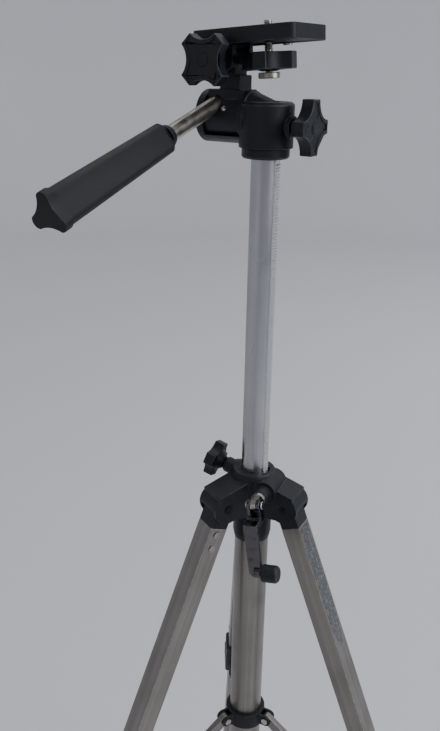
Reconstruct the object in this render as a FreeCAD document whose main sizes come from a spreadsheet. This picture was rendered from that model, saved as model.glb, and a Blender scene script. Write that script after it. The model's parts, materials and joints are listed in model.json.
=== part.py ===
import FreeCAD, Part
import math
import os
import re

# Aluminium camera tripod with a geared centre column and a three-way pan head.
# Millimetres, +Z up.  The origin lies on the floor under the middle of the outline.

SIZES = {
    # stance
    "column_offset_y": -98.0,
    "hinge_height": 905.0,
    "hinge_radius": 34.0,
    "splay": 21.5,
    "leg_a_azimuth": 210.0,
    "leg_b_azimuth": 330.0,
    "leg_c_azimuth": 90.0,
    # leg sections: width runs round the tripod, depth runs outward
    "upper_width": 20.0,
    "upper_depth": 17.0,
    "middle_width": 17.2,
    "middle_depth": 14.2,
    "lower_width": 14.4,
    "lower_depth": 11.4,
    "channel_wall": 1.2,
    "channel_lip": 3.6,
    "upper_top": 20.0,
    "upper_end": 346.0,
    "middle_top": 306.0,
    "middle_end": 655.0,
    "lower_top": 615.0,
    "lower_end": 955.0,
    "foot_radius": 13.0,
    "foot_top": 926.0,
    "hinge_pin_radius": 2.5,
    "running_fit": 0.06,
    "loose_gap": 0.3,
    "rivet_radius": 2.0,
    "rivet_head_radius": 3.2,
    "rivet_head": 0.9,
    "rivet_high": 26.0,
    "rivet_low": 39.0,
    "lock_wall": 3.0,
    "lever_length": 46.0,
    "lever_pivot": 4.4,
    "lever_barrel": 3.7,
    "brace_ear": 6.5,
    "lever_thickness": 3.4,
    # shoulder casting
    "ring_radius": 20.0,
    "ring_top": 26.5,
    "ring_bottom": -14.0,
    "sleeve_radius": 17.0,
    "sleeve_bottom": -41.0,
    "lug_width": 27.0,
    "lug_radius": 13.5,
    "lug_slot": 20.8,
    "tube_radius": 15.2,
    "tube_wall": 1.4,
    "tube_top": -10.0,
    "tube_bottom": -305.0,
    "bush_radius": 14.2,
    # centre column and gear drive
    "column_radius": 11.0,
    "column_wall": 1.5,
    "column_top": 291.0,
    "column_bottom": -30.0,
    "rack_azimuth": 335.0,
    "rack_width": 10.0,
    "tooth_pitch": 2.4,
    "tooth_height": 1.25,
    "rack_root": 10.3,
    "pinion_teeth": 16.0,
    "pinion_width": 12.0,
    "pinion_height": 15.0,
    "shaft_radius": 4.0,
    "crank_hub": 42.0,
    "crank_length": 54.0,
    "crank_plane": 56.5,
    "crank_turned": 9.0,
    "crank_knob_radius": 7.4,
    "crank_knob_length": 13.5,
    # column lock
    "lock_azimuth": 150.0,
    "lock_tilt": 14.0,
    "lock_height": 16.0,
    "stud_radius": 3.0,
    # brace
    "brace_height": -245.0,
    "brace_inner": 24.0,
    "brace_reach": 340.0,
    "brace_offset": 21.4,
    "strut_height": 9.5,
    "strut_width": 6.0,
    "collar_radius": 19.0,
    "collar_height": 15.0,
    # head, measured from the top of the column
    "pan_angle": 34.0,
    "pan_base_radius": 18.4,
    "pan_base_height": 7.5,
    "pan_body_radius": 20.75,
    "pan_body_top": 41.0,
    "tilt_height": 29.0,
    "yoke_radius": 19.6,
    "yoke_left": -52.0,
    "cheek": 6.0,
    "yoke_right": -15.0,
    "tilt_lug_radius": 16.7,
    "tilt_axle_radius": 4.0,
    "tilt_shelf": 59.0,
    "side_pivot_x": -30.0,
    "side_pivot_height": 69.0,
    "knuckle_radius": 8.4,
    "star_radius": 20.0,
    "star_thickness": 10.0,
    "star_lobe": 10.5,
    "handle_x": -38.2,
    "handle_y": -18.0,
    "handle_height": 35.8,
    "handle_drop": 17.3,
    "handle_rod_radius": 6.0,
    "rod_seat": 14.0,
    "rod_in_grip": 98.0,
    "grip_start": 58.0,
    "grip_end": 188.0,
    "grip_neck": 9.0,
    "grip_small": 12.2,
    "grip_large": 15.4,
    # platform, measured from the side-tilt pivot
    "platform_lean": 4.0,
    "platform_left": -19.4,
    "platform_right": 64.6,
    "platform_half": 27.0,
    "platform_under": 10.5,
    "platform_thickness": 10.5,
    "platform_rim": 2.4,
    "camera_screw_x": 30.0,
    "camera_screw_radius": 3.175,
    "camera_screw_reach": 5.0,
    "screw_neck_radius": 2.6,
    "thread_clear": 0.4,
    "wheel_radius": 20.0,
    "wheel_bottom": -8.0,
    "wheel_thickness": 12.1,
    "screw_head_radius": 8.0,
    "video_pin_radius": 2.25,
}

doc = FreeCAD.newDocument("CameraTripod")
sheet = doc.addObject("Spreadsheet::Sheet", "Sizes")
for row, (alias, value) in enumerate(SIZES.items(), start=1):
    sheet.set(f"A{row}", alias)
    sheet.set(f"B{row}", str(value))
    sheet.setAlias(f"B{row}", alias)
doc.recompute()

NODES = {}
TURN_TO = {
    "x": FreeCAD.Rotation(FreeCAD.Vector(0, 1, 0), 90),
    "y": FreeCAD.Rotation(FreeCAD.Vector(1, 0, 0), -90),
    "z": FreeCAD.Rotation(),
}


def size(alias):
    """A driving dimension, read from the sheet."""
    return float(sheet.get(alias))


def linked(expression):
    """The expression with every alias in it pointed at the sheet."""
    return re.sub(
        r"[a-z][a-z_0-9]*",
        lambda word: f"Sizes.{word[0]}" if word[0] in SIZES else word[0],
        str(expression),
    )


def bind(item, sizes, at):
    """Ties an object's sizes and position to the sheet."""
    for name, expression in sizes.items():
        item.setExpression(name, linked(expression))
    for letter, expression in zip("xyz", at):
        item.setExpression(f".Placement.Base.{letter}", linked(expression))
    return item


def cylinder(name, radius, height, at=(0, 0, 0), axis="z"):
    """A cylinder that starts at a point and runs along an axis."""
    item = doc.addObject("Part::Cylinder", name)
    item.Placement.Rotation = TURN_TO[axis]
    return bind(item, {"Radius": radius, "Height": height}, at)


def cone(name, radius, end_radius, height, at=(0, 0, 0), axis="z"):
    """A frustum that starts at a point and runs along an axis."""
    item = doc.addObject("Part::Cone", name)
    item.Placement.Rotation = TURN_TO[axis]
    return bind(item, {"Radius1": radius, "Radius2": end_radius, "Height": height}, at)


def block(name, low, high):
    """A box between two corners."""
    item = doc.addObject("Part::Box", name)
    spans = [f"({top})-({bottom})" for bottom, top in zip(low, high)]
    return bind(item, dict(zip(("Length", "Width", "Height"), spans)), low)


def wedge(name, low, high, end_low, end_high):
    """A prism along Y whose X and Z span changes from low/high to end_low/end_high."""
    item = doc.addObject("Part::Wedge", name)
    sizes = {
        "Xmin": low[0],
        "Xmax": high[0],
        "Ymin": low[1],
        "Ymax": end_low[1],
        "Zmin": low[2],
        "Zmax": high[2],
        "X2min": end_low[0],
        "X2max": end_high[0],
        "Z2min": end_low[2],
        "Z2max": end_high[2],
    }
    return bind(item, sizes, (0, 0, 0))


def placed(item, placement):
    """The item, with a placement of its own."""
    item.Placement = placement
    return item


def turned(item, axis, angle):
    """The item, turned about an axis through the origin of its own frame."""
    turn = FreeCAD.Placement(FreeCAD.Vector(), FreeCAD.Rotation(axis, angle))
    return placed(item, turn * item.Placement)


def fuse(name, shapes):
    """One object joining several."""
    item = doc.addObject("Part::MultiFuse", name)
    item.Shapes = shapes
    return item


def cut(name, base, tools):
    """The base with the tools taken away."""
    item = doc.addObject("Part::Cut", name)
    item.Base = base
    item.Tool = tools[0] if len(tools) == 1 else fuse(f"{name}_tools", tools)
    return item


def held(name, shape):
    """One object round another, so that it can be turned on its own."""
    item = doc.addObject("Part::Compound", name)
    item.Links = [shape]
    return item


def rounded(name, base, picks, radius):
    """The base with the edges that picks accepts rounded."""
    doc.recompute()
    item = doc.addObject("Part::Fillet", name)
    item.Base = base
    chosen = [i for i, edge in enumerate(base.Shape.Edges, start=1) if picks(edge)]
    item.Edges = [(i, radius, radius) for i in chosen]
    return item


def formed(name, shape):
    """A free-form shape made from formulas on the sheet's sizes."""
    item = doc.addObject("Part::Feature", name)
    item.Shape = shape
    return item


def piece(label, item, placement=FreeCAD.Placement()):
    """Registers an object as a named sub-part, at its place in the tripod."""
    item.Label = label
    item.Placement = placement
    NODES[label] = item
    return item


def along(edge, axis):
    """Whether a straight edge runs along an axis."""
    if not isinstance(edge.Curve, Part.Line):
        return False
    return abs(edge.Curve.Direction.dot(axis)) > 0.999


X_AXIS = FreeCAD.Vector(1, 0, 0)
Y_AXIS = FreeCAD.Vector(0, 1, 0)
Z_AXIS = FreeCAD.Vector(0, 0, 1)

COLUMN_FOOT = FreeCAD.Vector(0, size("column_offset_y"), 0)
HINGE_LEVEL = COLUMN_FOOT + Z_AXIS * size("hinge_height")


def frame_at(origin, *turns):
    """A placement at a point, turned about one axis after another, outermost first."""
    placement = FreeCAD.Placement(origin, FreeCAD.Rotation())
    for axis, angle in turns:
        turn = FreeCAD.Placement(FreeCAD.Vector(), FreeCAD.Rotation(axis, angle))
        placement = placement * turn
    return placement


def from_axis(azimuth, radius, height):
    """A point at a heading and distance from the column, at a height over the leg hinges."""
    heading = math.radians(azimuth)
    out = FreeCAD.Vector(math.cos(heading), math.sin(heading), 0) * radius
    return HINGE_LEVEL + out + Z_AXIS * height


# ---------------------------------------------------------------- legs
# Leg frame: origin on the hinge axis, X outward, Y along the hinge, Z up the leg.


def lipped_channel(name, width, depth, top, end):
    """A rectangular channel whose open side faces the column between two lips."""
    wall = "channel_wall"
    outer = block(
        f"{name}_outer",
        (f"-{depth}/2", f"-{width}/2", f"-{end}"),
        (f"{depth}/2", f"{width}/2", f"-{top}"),
    )
    inner = block(
        f"{name}_inner",
        (f"-{depth}/2+{wall}", f"-{width}/2+{wall}", f"-{end}-1"),
        (f"{depth}/2-{wall}", f"{width}/2-{wall}", f"-{top}+1"),
    )
    mouth = block(
        f"{name}_mouth",
        (f"-{depth}/2-1", f"-{width}/2+channel_lip", f"-{end}-1"),
        (f"-{depth}/2+{wall}+1", f"{width}/2-channel_lip", f"-{top}+1"),
    )
    return cut(name, outer, [inner, mouth])


def hinge_cap(name):
    """The moulded tongue that turns in the casting's fork and plugs the channel."""
    gap = "channel_wall+0.2"
    knuckle = cylinder(
        f"{name}_knuckle", "upper_depth/2", "upper_width", (0, "-upper_width/2", 0), "y"
    )
    body = block(
        f"{name}_body",
        ("-upper_depth/2", "-upper_width/2", "-upper_top"),
        ("upper_depth/2", "upper_width/2", 0),
    )
    plug = block(
        f"{name}_plug",
        (f"-upper_depth/2+{gap}", f"-upper_width/2+{gap}", "-upper_top-26"),
        (f"upper_depth/2-({gap})", f"upper_width/2-({gap})", "-upper_top"),
    )
    bore = cylinder(
        f"{name}_bore",
        "hinge_pin_radius+running_fit",
        "upper_width+2",
        (0, "-upper_width/2-1", 0),
        "y",
    )
    return cut(name, fuse(f"{name}_solid", [knuckle, body, plug]), [bore])


def side_rivets(name):
    """Two rivets with low heads, through one side of the channel into the plug."""
    shapes = []
    for end in ("high", "low"):
        level = f"-rivet_{end}"
        shapes.append(
            cylinder(
                f"{name}_shank_{end}",
                "rivet_radius",
                "upper_width/2+rivet_head",
                (0, 0, level),
                "y",
            )
        )
        shapes.append(
            cylinder(
                f"{name}_head_{end}",
                "rivet_head_radius",
                "rivet_head",
                (0, "upper_width/2", level),
                "y",
            )
        )
    return fuse(name, shapes)


def section_lock(name, width, depth, inner_width, inner_depth, end, bracket):
    """The collar at the end of a channel: lever ears outside, brace ears inside."""
    top = f"-{end}+42"
    bottom = f"-{end}-8"
    body = block(
        f"{name}_body",
        (f"-{depth}/2-lock_wall", f"-{width}/2-lock_wall", bottom),
        (f"{depth}/2+lock_wall", f"{width}/2+lock_wall", top),
    )
    soft = rounded(f"{name}_soft", body, lambda edge: along(edge, Z_AXIS), 2.4)
    pivot_x = f"{depth}/2+lock_wall+lever_pivot"
    pivot_z = f"-{end}"
    adds = [soft]
    cuts = [
        block(
            f"{name}_socket",
            (f"-{depth}/2", f"-{width}/2", f"-{end}"),
            (f"{depth}/2", f"{width}/2", f"{top}+1"),
        ),
        block(
            f"{name}_throat",
            (f"-{inner_depth}/2-0.25", f"-{inner_width}/2-0.25", f"{bottom}-1"),
            (f"{inner_depth}/2+0.25", f"{inner_width}/2+0.25", f"-{end}+1"),
        ),
        cylinder(
            f"{name}_lever_bore",
            "rivet_radius+running_fit",
            f"{width}+20",
            (pivot_x, f"-{width}/2-10", pivot_z),
            "y",
        ),
    ]
    for side, low in (("left", f"-{width}/2-lock_wall"), ("right", f"{width}/2")):
        adds.append(
            cylinder(f"{name}_ear_{side}", 5, "lock_wall", (pivot_x, low, pivot_z), "y")
        )
        adds.append(
            block(
                f"{name}_ear_root_{side}",
                (f"{depth}/2", low, f"{pivot_z}-5"),
                (pivot_x, f"{low}+lock_wall", f"{pivot_z}+5"),
            )
        )
    if bracket:
        for side, sign in (("left", -1), ("right", 1)):
            low = f"{sign}*brace_ear-1.5"
            adds.append(
                cylinder(
                    f"{name}_brace_ear_{side}",
                    6,
                    3,
                    ("-brace_offset", low, "-brace_reach"),
                    "y",
                )
            )
            adds.append(
                block(
                    f"{name}_brace_root_{side}",
                    ("-brace_offset", low, "-brace_reach-6"),
                    (f"-{depth}/2", f"{low}+3", "-brace_reach+6"),
                )
            )
            adds.append(
                cylinder(
                    f"{name}_brace_stub_{side}",
                    "rivet_head_radius",
                    1,
                    ("-brace_offset", f"{sign}*(brace_ear+2)-0.5", "-brace_reach"),
                    "y",
                )
            )
    return cut(name, fuse(f"{name}_solid", adds), cuts)


def flip_lever(name, width, depth, end):
    """The lever that lies up the outer face of the leg and pivots on its own pin."""
    pivot_x = f"{depth}/2+lock_wall+lever_pivot"
    face = f"{depth}/2+lock_wall+0.5"
    half = f"{width}/2-0.4"
    barrel = cylinder(
        f"{name}_barrel", "lever_barrel", f"2*({half})", (pivot_x, f"-({half})", f"-{end}"), "y"
    )
    pin = cylinder(
        f"{name}_pin",
        "rivet_radius",
        f"{width}+2*lock_wall",
        (pivot_x, f"-{width}/2-lock_wall", f"-{end}"),
        "y",
    )
    plate = block(
        f"{name}_plate",
        (face, f"-({half})", f"-{end}"),
        (f"{face}+lever_thickness", half, f"-{end}+lever_length"),
    )
    tab = block(
        f"{name}_tab",
        (face, f"-({half})", f"-{end}+lever_length-5"),
        (f"{face}+lever_thickness+3", half, f"-{end}+lever_length"),
    )
    return fuse(name, [barrel, pin, plate, tab])


def rubber_foot(name):
    """A round rubber boot on the last section, cut flat where it meets the floor."""
    boot = cylinder(f"{name}_boot", "foot_radius", "70", (0, 0, "-foot_top-70"))
    cuff = cone(f"{name}_cuff", "foot_radius", "foot_radius-2.4", "8", (0, 0, "-foot_top"))
    socket = block(
        f"{name}_socket",
        ("-lower_depth/2", "-lower_width/2", "-lower_end"),
        ("lower_depth/2", "lower_width/2", "-foot_top+9"),
    )
    reach = size("hinge_height") / math.cos(math.radians(size("splay")))
    floor = doc.addObject("Part::Cylinder", f"{name}_floor")
    floor.setExpression("Radius", linked("4*foot_radius"))
    floor.setExpression("Height", linked("4*foot_radius"))
    floor.Placement = frame_at(Z_AXIS * -reach, (Y_AXIS, size("splay")), (X_AXIS, 180))
    return cut(name, fuse(f"{name}_solid", [boot, cuff]), [socket, floor])


def brace_strut(name, length):
    """A folded strip with an eye at each end; X runs outward from the inner eye."""
    half = "strut_width/2"
    high = "strut_height/2"
    bar = block(f"{name}_bar", (0, f"-{half}", f"-{high}"), (length, half, high))
    eyes = [
        cylinder(f"{name}_eye{i}", high, "strut_width", (x, f"-{half}", 0), "y")
        for i, x in enumerate((0, length))
    ]
    hollow = block(
        f"{name}_hollow",
        ("strut_height", f"-{half}+channel_wall", f"-{high}-1"),
        (f"{length}-strut_height", f"{half}-channel_wall", f"{high}-channel_wall"),
    )
    bore = cylinder(
        f"{name}_bore", "rivet_radius+running_fit", "strut_width+2", (0, f"-{half}-1", 0), "y"
    )
    return cut(name, fuse(f"{name}_solid", [bar, *eyes]), [hollow, bore])


def strut_line():
    """Length and slope of a brace strut with the legs fully open."""
    lean = math.radians(size("splay"))
    reach, offset = size("brace_reach"), size("brace_offset")
    out = size("hinge_radius") + reach * math.sin(lean) - offset * math.cos(lean)
    down = reach * math.cos(lean) + offset * math.sin(lean)
    run = out - size("brace_inner")
    drop = down + size("brace_height")
    return math.hypot(run, drop), math.degrees(math.atan2(drop, run))


def build_legs():
    """Three identical legs, each a chain of nested sections, locks and a foot."""
    strut_length, strut_slope = strut_line()
    for key in "abc":
        azimuth = size(f"leg_{key}_azimuth")
        hinge = from_axis(azimuth, size("hinge_radius"), 0)
        leg = frame_at(hinge, (Z_AXIS, azimuth), (Y_AXIS, -size("splay")))
        made = {
            "hinge_cap": hinge_cap(f"cap_{key}"),
            "upper_channel": lipped_channel(
                f"upper_{key}", "upper_width", "upper_depth", "upper_top", "upper_end"
            ),
            "side_rivets": side_rivets(f"rivets_{key}"),
            "upper_lock": section_lock(
                f"upper_lock_{key}",
                "upper_width",
                "upper_depth",
                "middle_width",
                "middle_depth",
                "upper_end",
                True,
            ),
            "upper_lever": flip_lever(
                f"upper_lever_{key}", "upper_width", "upper_depth", "upper_end"
            ),
            "middle_channel": lipped_channel(
                f"middle_{key}", "middle_width", "middle_depth", "middle_top", "middle_end"
            ),
            "middle_lock": section_lock(
                f"middle_lock_{key}",
                "middle_width",
                "middle_depth",
                "lower_width",
                "lower_depth",
                "middle_end",
                False,
            ),
            "middle_lever": flip_lever(
                f"middle_lever_{key}", "middle_width", "middle_depth", "middle_end"
            ),
            "lower_channel": lipped_channel(
                f"lower_{key}", "lower_width", "lower_depth", "lower_top", "lower_end"
            ),
            "foot": rubber_foot(f"foot_{key}"),
        }
        for label, item in made.items():
            piece(f"{label}_{key}", item, leg)
        pivot = from_axis(azimuth, size("brace_inner"), size("brace_height"))
        strut = frame_at(pivot, (Z_AXIS, azimuth), (Y_AXIS, strut_slope))
        piece(f"brace_strut_{key}", brace_strut(f"strut_{key}", strut_length), strut)


# ---------------------------------------------------------------- centre
# Centre frame: origin on the column axis at the level of the leg hinges.


def casting_arm(name):
    """One fork arm, sloping from the ring down to its round lug, along +Y."""
    arm = wedge(
        f"{name}_arm",
        ("-lug_width/2", 0, "ring_bottom"),
        ("lug_width/2", 0, "ring_top-1.5"),
        ("-lug_width/2", "hinge_radius+lug_radius-4.5", "-lug_radius+2"),
        ("lug_width/2", 0, "lug_radius-1"),
    )
    lug = cylinder(
        f"{name}_lug", "lug_radius", "lug_width", ("-lug_width/2", "hinge_radius", 0), "x"
    )
    return fuse(name, [arm, lug])


def fork_slot(name):
    """The space in one fork for the leg's tongue and its fold, along +Y."""
    box = block(
        f"{name}_box",
        ("-lug_slot/2", "hinge_radius-11.5", "-lug_radius-20"),
        ("lug_slot/2", "hinge_radius+lug_radius+9", 0),
    )
    crown = cylinder(
        f"{name}_crown", "upper_depth/2+0.9", "lug_slot", ("-lug_slot/2", "hinge_radius", 0), "x"
    )
    return fuse(name, [box, crown])


def shaft_frame():
    """Crank frame: origin on the pinion, Y out along the shaft, -X at the right leg."""
    centre = from_axis(size("rack_azimuth"), pinion_distance(), size("pinion_height"))
    return frame_at(centre, (Z_AXIS, size("rack_azimuth") - 180))


def pinion_radius():
    """Pitch radius of the pinion."""
    return size("pinion_teeth") * size("tooth_pitch") / math.tau


def pinion_distance():
    """Distance from the column axis to the pinion shaft."""
    return size("rack_root") + size("tooth_height") / 2 + pinion_radius()


def lock_frame():
    """Column-lock frame: origin on the column axis, Z out along the stud."""
    origin = HINGE_LEVEL + Z_AXIS * size("lock_height")
    return frame_at(origin, (Z_AXIS, size("lock_azimuth")), (Y_AXIS, 90 - size("lock_tilt")))


def shoulder_casting():
    """The casting: ring, sleeve, three forks, gear housing and lock boss."""
    ring = cylinder("ring", "ring_radius", "ring_top-5-ring_bottom", (0, 0, "ring_bottom"))
    crown = cone("ring_crown", "ring_radius", "ring_radius-2", 5, (0, 0, "ring_top-5"))
    sleeve = cylinder(
        "sleeve", "sleeve_radius", "ring_bottom-sleeve_bottom-6", (0, 0, "sleeve_bottom+6")
    )
    hem = cone("sleeve_hem", "tube_radius+0.6", "sleeve_radius", 6, (0, 0, "sleeve_bottom"))
    adds = [ring, crown, sleeve, hem]
    slots = []
    for key in "abc":
        heading = size(f"leg_{key}_azimuth") - 90
        adds.append(turned(casting_arm(f"arm_{key}"), Z_AXIS, heading))
        slots.append(turned(fork_slot(f"slot_{key}"), Z_AXIS, heading))
    to_centre = FreeCAD.Placement(HINGE_LEVEL * -1, FreeCAD.Rotation())
    boss = fuse(
        "gear_boss",
        [
            cylinder("gear_boss_barrel", 10.5, 30, (0, -9, 0), "y"),
            cylinder("gear_boss_nose", 7, 11, (0, 20, 0), "y"),
        ],
    )
    gear_room = fuse(
        "gear_room",
        [
            cylinder("gear_pocket", 7.7, "pinion_width+0.6", (0, "-pinion_width/2-0.3", 0), "y"),
            cylinder("shaft_bore", "shaft_radius+running_fit", 50, (0, -12, 0), "y"),
        ],
    )
    lock_boss = fuse(
        "lock_boss",
        [
            cylinder("lock_boss_barrel", 7, 15, (0, 0, 12)),
            cone("lock_boss_nose", 7, 5.4, 2.5, (0, 0, 27)),
        ],
    )
    lock_drill = cylinder("lock_hole_drill", "stud_radius+running_fit", 40, (0, 0, 5))
    lock_hole = held("lock_hole", lock_drill)
    adds.append(placed(boss, to_centre * shaft_frame()))
    adds.append(placed(lock_boss, to_centre * lock_frame()))
    column_bore = cylinder(
        "column_bore", "bush_radius", "ring_top-tube_top+2", (0, 0, "tube_top-1")
    )
    tube_socket = cylinder(
        "tube_socket", "tube_radius", "tube_top-sleeve_bottom+1", (0, 0, "sleeve_bottom-1")
    )
    cuts = [
        *slots,
        column_bore,
        tube_socket,
        placed(gear_room, to_centre * shaft_frame()),
        placed(lock_hole, to_centre * lock_frame()),
    ]
    for key in "abc":
        drill = fuse(
            f"hinge_drill_{key}",
            [
                cylinder(
                    f"hinge_bore_{key}",
                    "hinge_pin_radius",
                    "lug_width+4",
                    ("-lug_width/2-2", "hinge_radius", 0),
                    "x",
                ),
                cylinder(
                    f"hinge_dimple_{key}",
                    "hinge_pin_radius+1.6",
                    "1.2",
                    ("lug_width/2-0.8", "hinge_radius", 0),
                    "x",
                ),
            ],
        )
        cuts.append(turned(drill, Z_AXIS, size(f"leg_{key}_azimuth") - 90))
    casting = cut("casting", fuse("casting_solid", adds), cuts)
    piece("shoulder_casting", casting, frame_at(HINGE_LEVEL))


def hinge_pins():
    """The three pins that the legs turn on."""
    pins = []
    for key in "abc":
        pin = fuse(
            f"hinge_pin_{key}",
            [
                cylinder(
                    f"hinge_pin_shank_{key}",
                    "hinge_pin_radius",
                    "lug_width-0.8",
                    ("-lug_width/2", "hinge_radius", 0),
                    "x",
                ),
                cylinder(
                    f"hinge_pin_head_{key}",
                    "hinge_pin_radius+1.2",
                    "0.8",
                    ("-lug_width/2-0.8", "hinge_radius", 0),
                    "x",
                ),
            ],
        )
        pins.append(turned(pin, Z_AXIS, size(f"leg_{key}_azimuth") - 90))
    piece("leg_hinge_pins", fuse("hinge_pins", pins), frame_at(HINGE_LEVEL))


def centre_tube():
    """The fixed tube under the casting, its end cap, and the column's guide bush."""
    tube = cut(
        "tube",
        cylinder("tube_outer", "tube_radius", "tube_top-tube_bottom", (0, 0, "tube_bottom")),
        [
            cylinder(
                "tube_inner",
                "tube_radius-tube_wall",
                "tube_top-tube_bottom+2",
                (0, 0, "tube_bottom-1"),
            )
        ],
    )
    piece("centre_tube", tube, frame_at(HINGE_LEVEL))
    plug = cylinder("cap_plug", "tube_radius-tube_wall", 8, (0, 0, "tube_bottom"))
    rim = cone("cap_rim", "tube_radius-2", "tube_radius", 4, (0, 0, "tube_bottom-4"))
    hole = cylinder("cap_hole", 5, 20, (0, 0, "tube_bottom-6"))
    cap = cut("tube_cap", fuse("cap_solid", [plug, rim]), [hole])
    piece("tube_end_cap", cap, frame_at(HINGE_LEVEL))
    bush_body = cylinder("bush_body", "bush_radius", "ring_top-tube_top", (0, 0, "tube_top"))
    notch = block(
        "bush_notch",
        (0, "-pinion_width/2-0.4", "tube_top-1"),
        ("bush_radius+2", "pinion_width/2+0.4", "ring_top+1"),
    )
    notch_tool = turned(held("notch_tool", notch), Z_AXIS, size("rack_azimuth"))
    bore = cylinder(
        "bush_bore", "column_radius+running_fit", "ring_top-tube_top+2", (0, 0, "tube_top-1")
    )
    lock_drill = cylinder("bush_lock_drill", "stud_radius+1", 20, (0, 0, 5))
    lock_gap = placed(
        held("bush_lock_gap", lock_drill), frame_at(HINGE_LEVEL * -1) * lock_frame()
    )
    bush = cut("bush", bush_body, [notch_tool, bore, lock_gap])
    piece("column_bush", bush, frame_at(HINGE_LEVEL))


def brace():
    """The collar that slides on the tube, and the pins its struts turn on."""
    ring = cylinder(
        "collar_ring", "collar_radius", "collar_height", (0, 0, "brace_height-collar_height/2")
    )
    bore = cylinder(
        "collar_bore",
        "tube_radius+0.09",
        "collar_height+2",
        (0, 0, "brace_height-collar_height/2-1"),
    )
    adds = [ring]
    pins = []
    for key in "abc":
        cheeks = []
        for side, sign in (("left", -1), ("right", 1)):
            low = f"{sign}*(strut_width/2+1.7)-1.3"
            cheeks.append(
                block(
                    f"collar_ear_root_{key}_{side}",
                    (low, "collar_radius-1.5", "brace_height-5.5"),
                    (f"{low}+2.6", "brace_inner", "brace_height+5.5"),
                )
            )
            cheeks.append(
                cylinder(
                    f"collar_ear_{key}_{side}", 5.5, 2.6, (low, "brace_inner", "brace_height"), "x"
                )
            )
        heading = size(f"leg_{key}_azimuth") - 90
        adds.append(turned(fuse(f"collar_ears_{key}", cheeks), Z_AXIS, heading))
        shank = cylinder(
            f"brace_pin_shank_{key}",
            "rivet_radius",
            "strut_width+8",
            ("-strut_width/2-4", "brace_inner", "brace_height"),
            "x",
        )
        heads = [
            cylinder(
                f"brace_pin_head_{key}_{side}",
                "rivet_head_radius",
                1,
                (x, "brace_inner", "brace_height"),
                "x",
            )
            for side, x in (("left", "-strut_width/2-4"), ("right", "strut_width/2+3"))
        ]
        pins.append(turned(fuse(f"brace_pin_{key}", [shank, *heads]), Z_AXIS, heading))
    collar = cut("collar", fuse("collar_solid", adds), [bore])
    piece("brace_collar", collar, frame_at(HINGE_LEVEL))
    piece("brace_pins", fuse("brace_pins_all", pins), frame_at(HINGE_LEVEL))


# ---------------------------------------------------------------- column and crank


def tooth_outline(points):
    """A closed face through points given as vectors."""
    return Part.Face(Part.makePolygon([*points, points[0]]))


def rack_shape():
    """The toothed strip: X outward from the column axis, teeth up the Z axis."""
    pitch, tall = size("tooth_pitch"), size("tooth_height")
    root, back = size("rack_root"), size("rack_root") - 2
    low, high = size("column_bottom"), size("column_top") - 1
    count = int((high - low) // pitch) - 1
    side = -size("rack_width") / 2
    points = [FreeCAD.Vector(back, side, low), FreeCAD.Vector(root, side, low)]
    phase = size("pinion_height")
    first = phase - pitch * math.floor((phase - low - pitch / 2) / pitch)
    for number in range(count):
        middle = first + number * pitch
        for out, half in ((0, 0.3), (tall, 0.13), (tall, -0.13), (0, -0.3)):
            points.append(FreeCAD.Vector(root + out, side, middle - half * pitch))
    points.append(FreeCAD.Vector(root, side, high))
    points.append(FreeCAD.Vector(back, side, high))
    return tooth_outline(points).extrude(Y_AXIS * size("rack_width"))


def pinion_shape():
    """A small spur gear along Y, with a tooth gap facing the rack along X."""
    teeth = int(size("pinion_teeth"))
    pitch_radius = pinion_radius()
    tall = size("tooth_height")
    root, tip = pitch_radius - tall / 2 - 0.2, pitch_radius + tall / 2 - 0.1
    step = math.tau / teeth
    side = -size("pinion_width") / 2
    turned_back = math.radians(size("crank_turned"))
    points = []
    for number in range(teeth):
        middle = step * (number + 0.5)
        for radius, half in ((root, -0.27), (tip, -0.1), (tip, 0.1), (root, 0.27)):
            angle = middle + half * step + turned_back
            x, z = radius * math.cos(angle), radius * math.sin(angle)
            points.append(FreeCAD.Vector(x, side, z))
    return tooth_outline(points).extrude(Y_AXIS * size("pinion_width"))


def build_column():
    """The sliding tube with the rack let into it."""
    tube = cylinder(
        "column_outer", "column_radius", "column_top-column_bottom+5", (0, 0, "column_bottom")
    )
    inner = cylinder(
        "column_inner",
        "column_radius-column_wall-1.4",
        "column_top-column_bottom+7",
        (0, 0, "column_bottom-1"),
    )
    groove = block(
        "column_groove",
        ("rack_root-2", "-rack_width/2", "column_bottom-1"),
        ("column_radius+2", "rack_width/2", "column_top-1"),
    )
    column = cut("column", tube, [inner, groove])
    place = frame_at(HINGE_LEVEL, (Z_AXIS, size("rack_azimuth")))
    piece("column_tube", column, place)
    piece("column_rack", formed("rack", rack_shape()), place)


def knob_centre(start):
    """A point on the crank knob's axis, at a distance along X in the crank's frame."""
    return (start, "crank_plane+1.5", "-crank_length")


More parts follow.
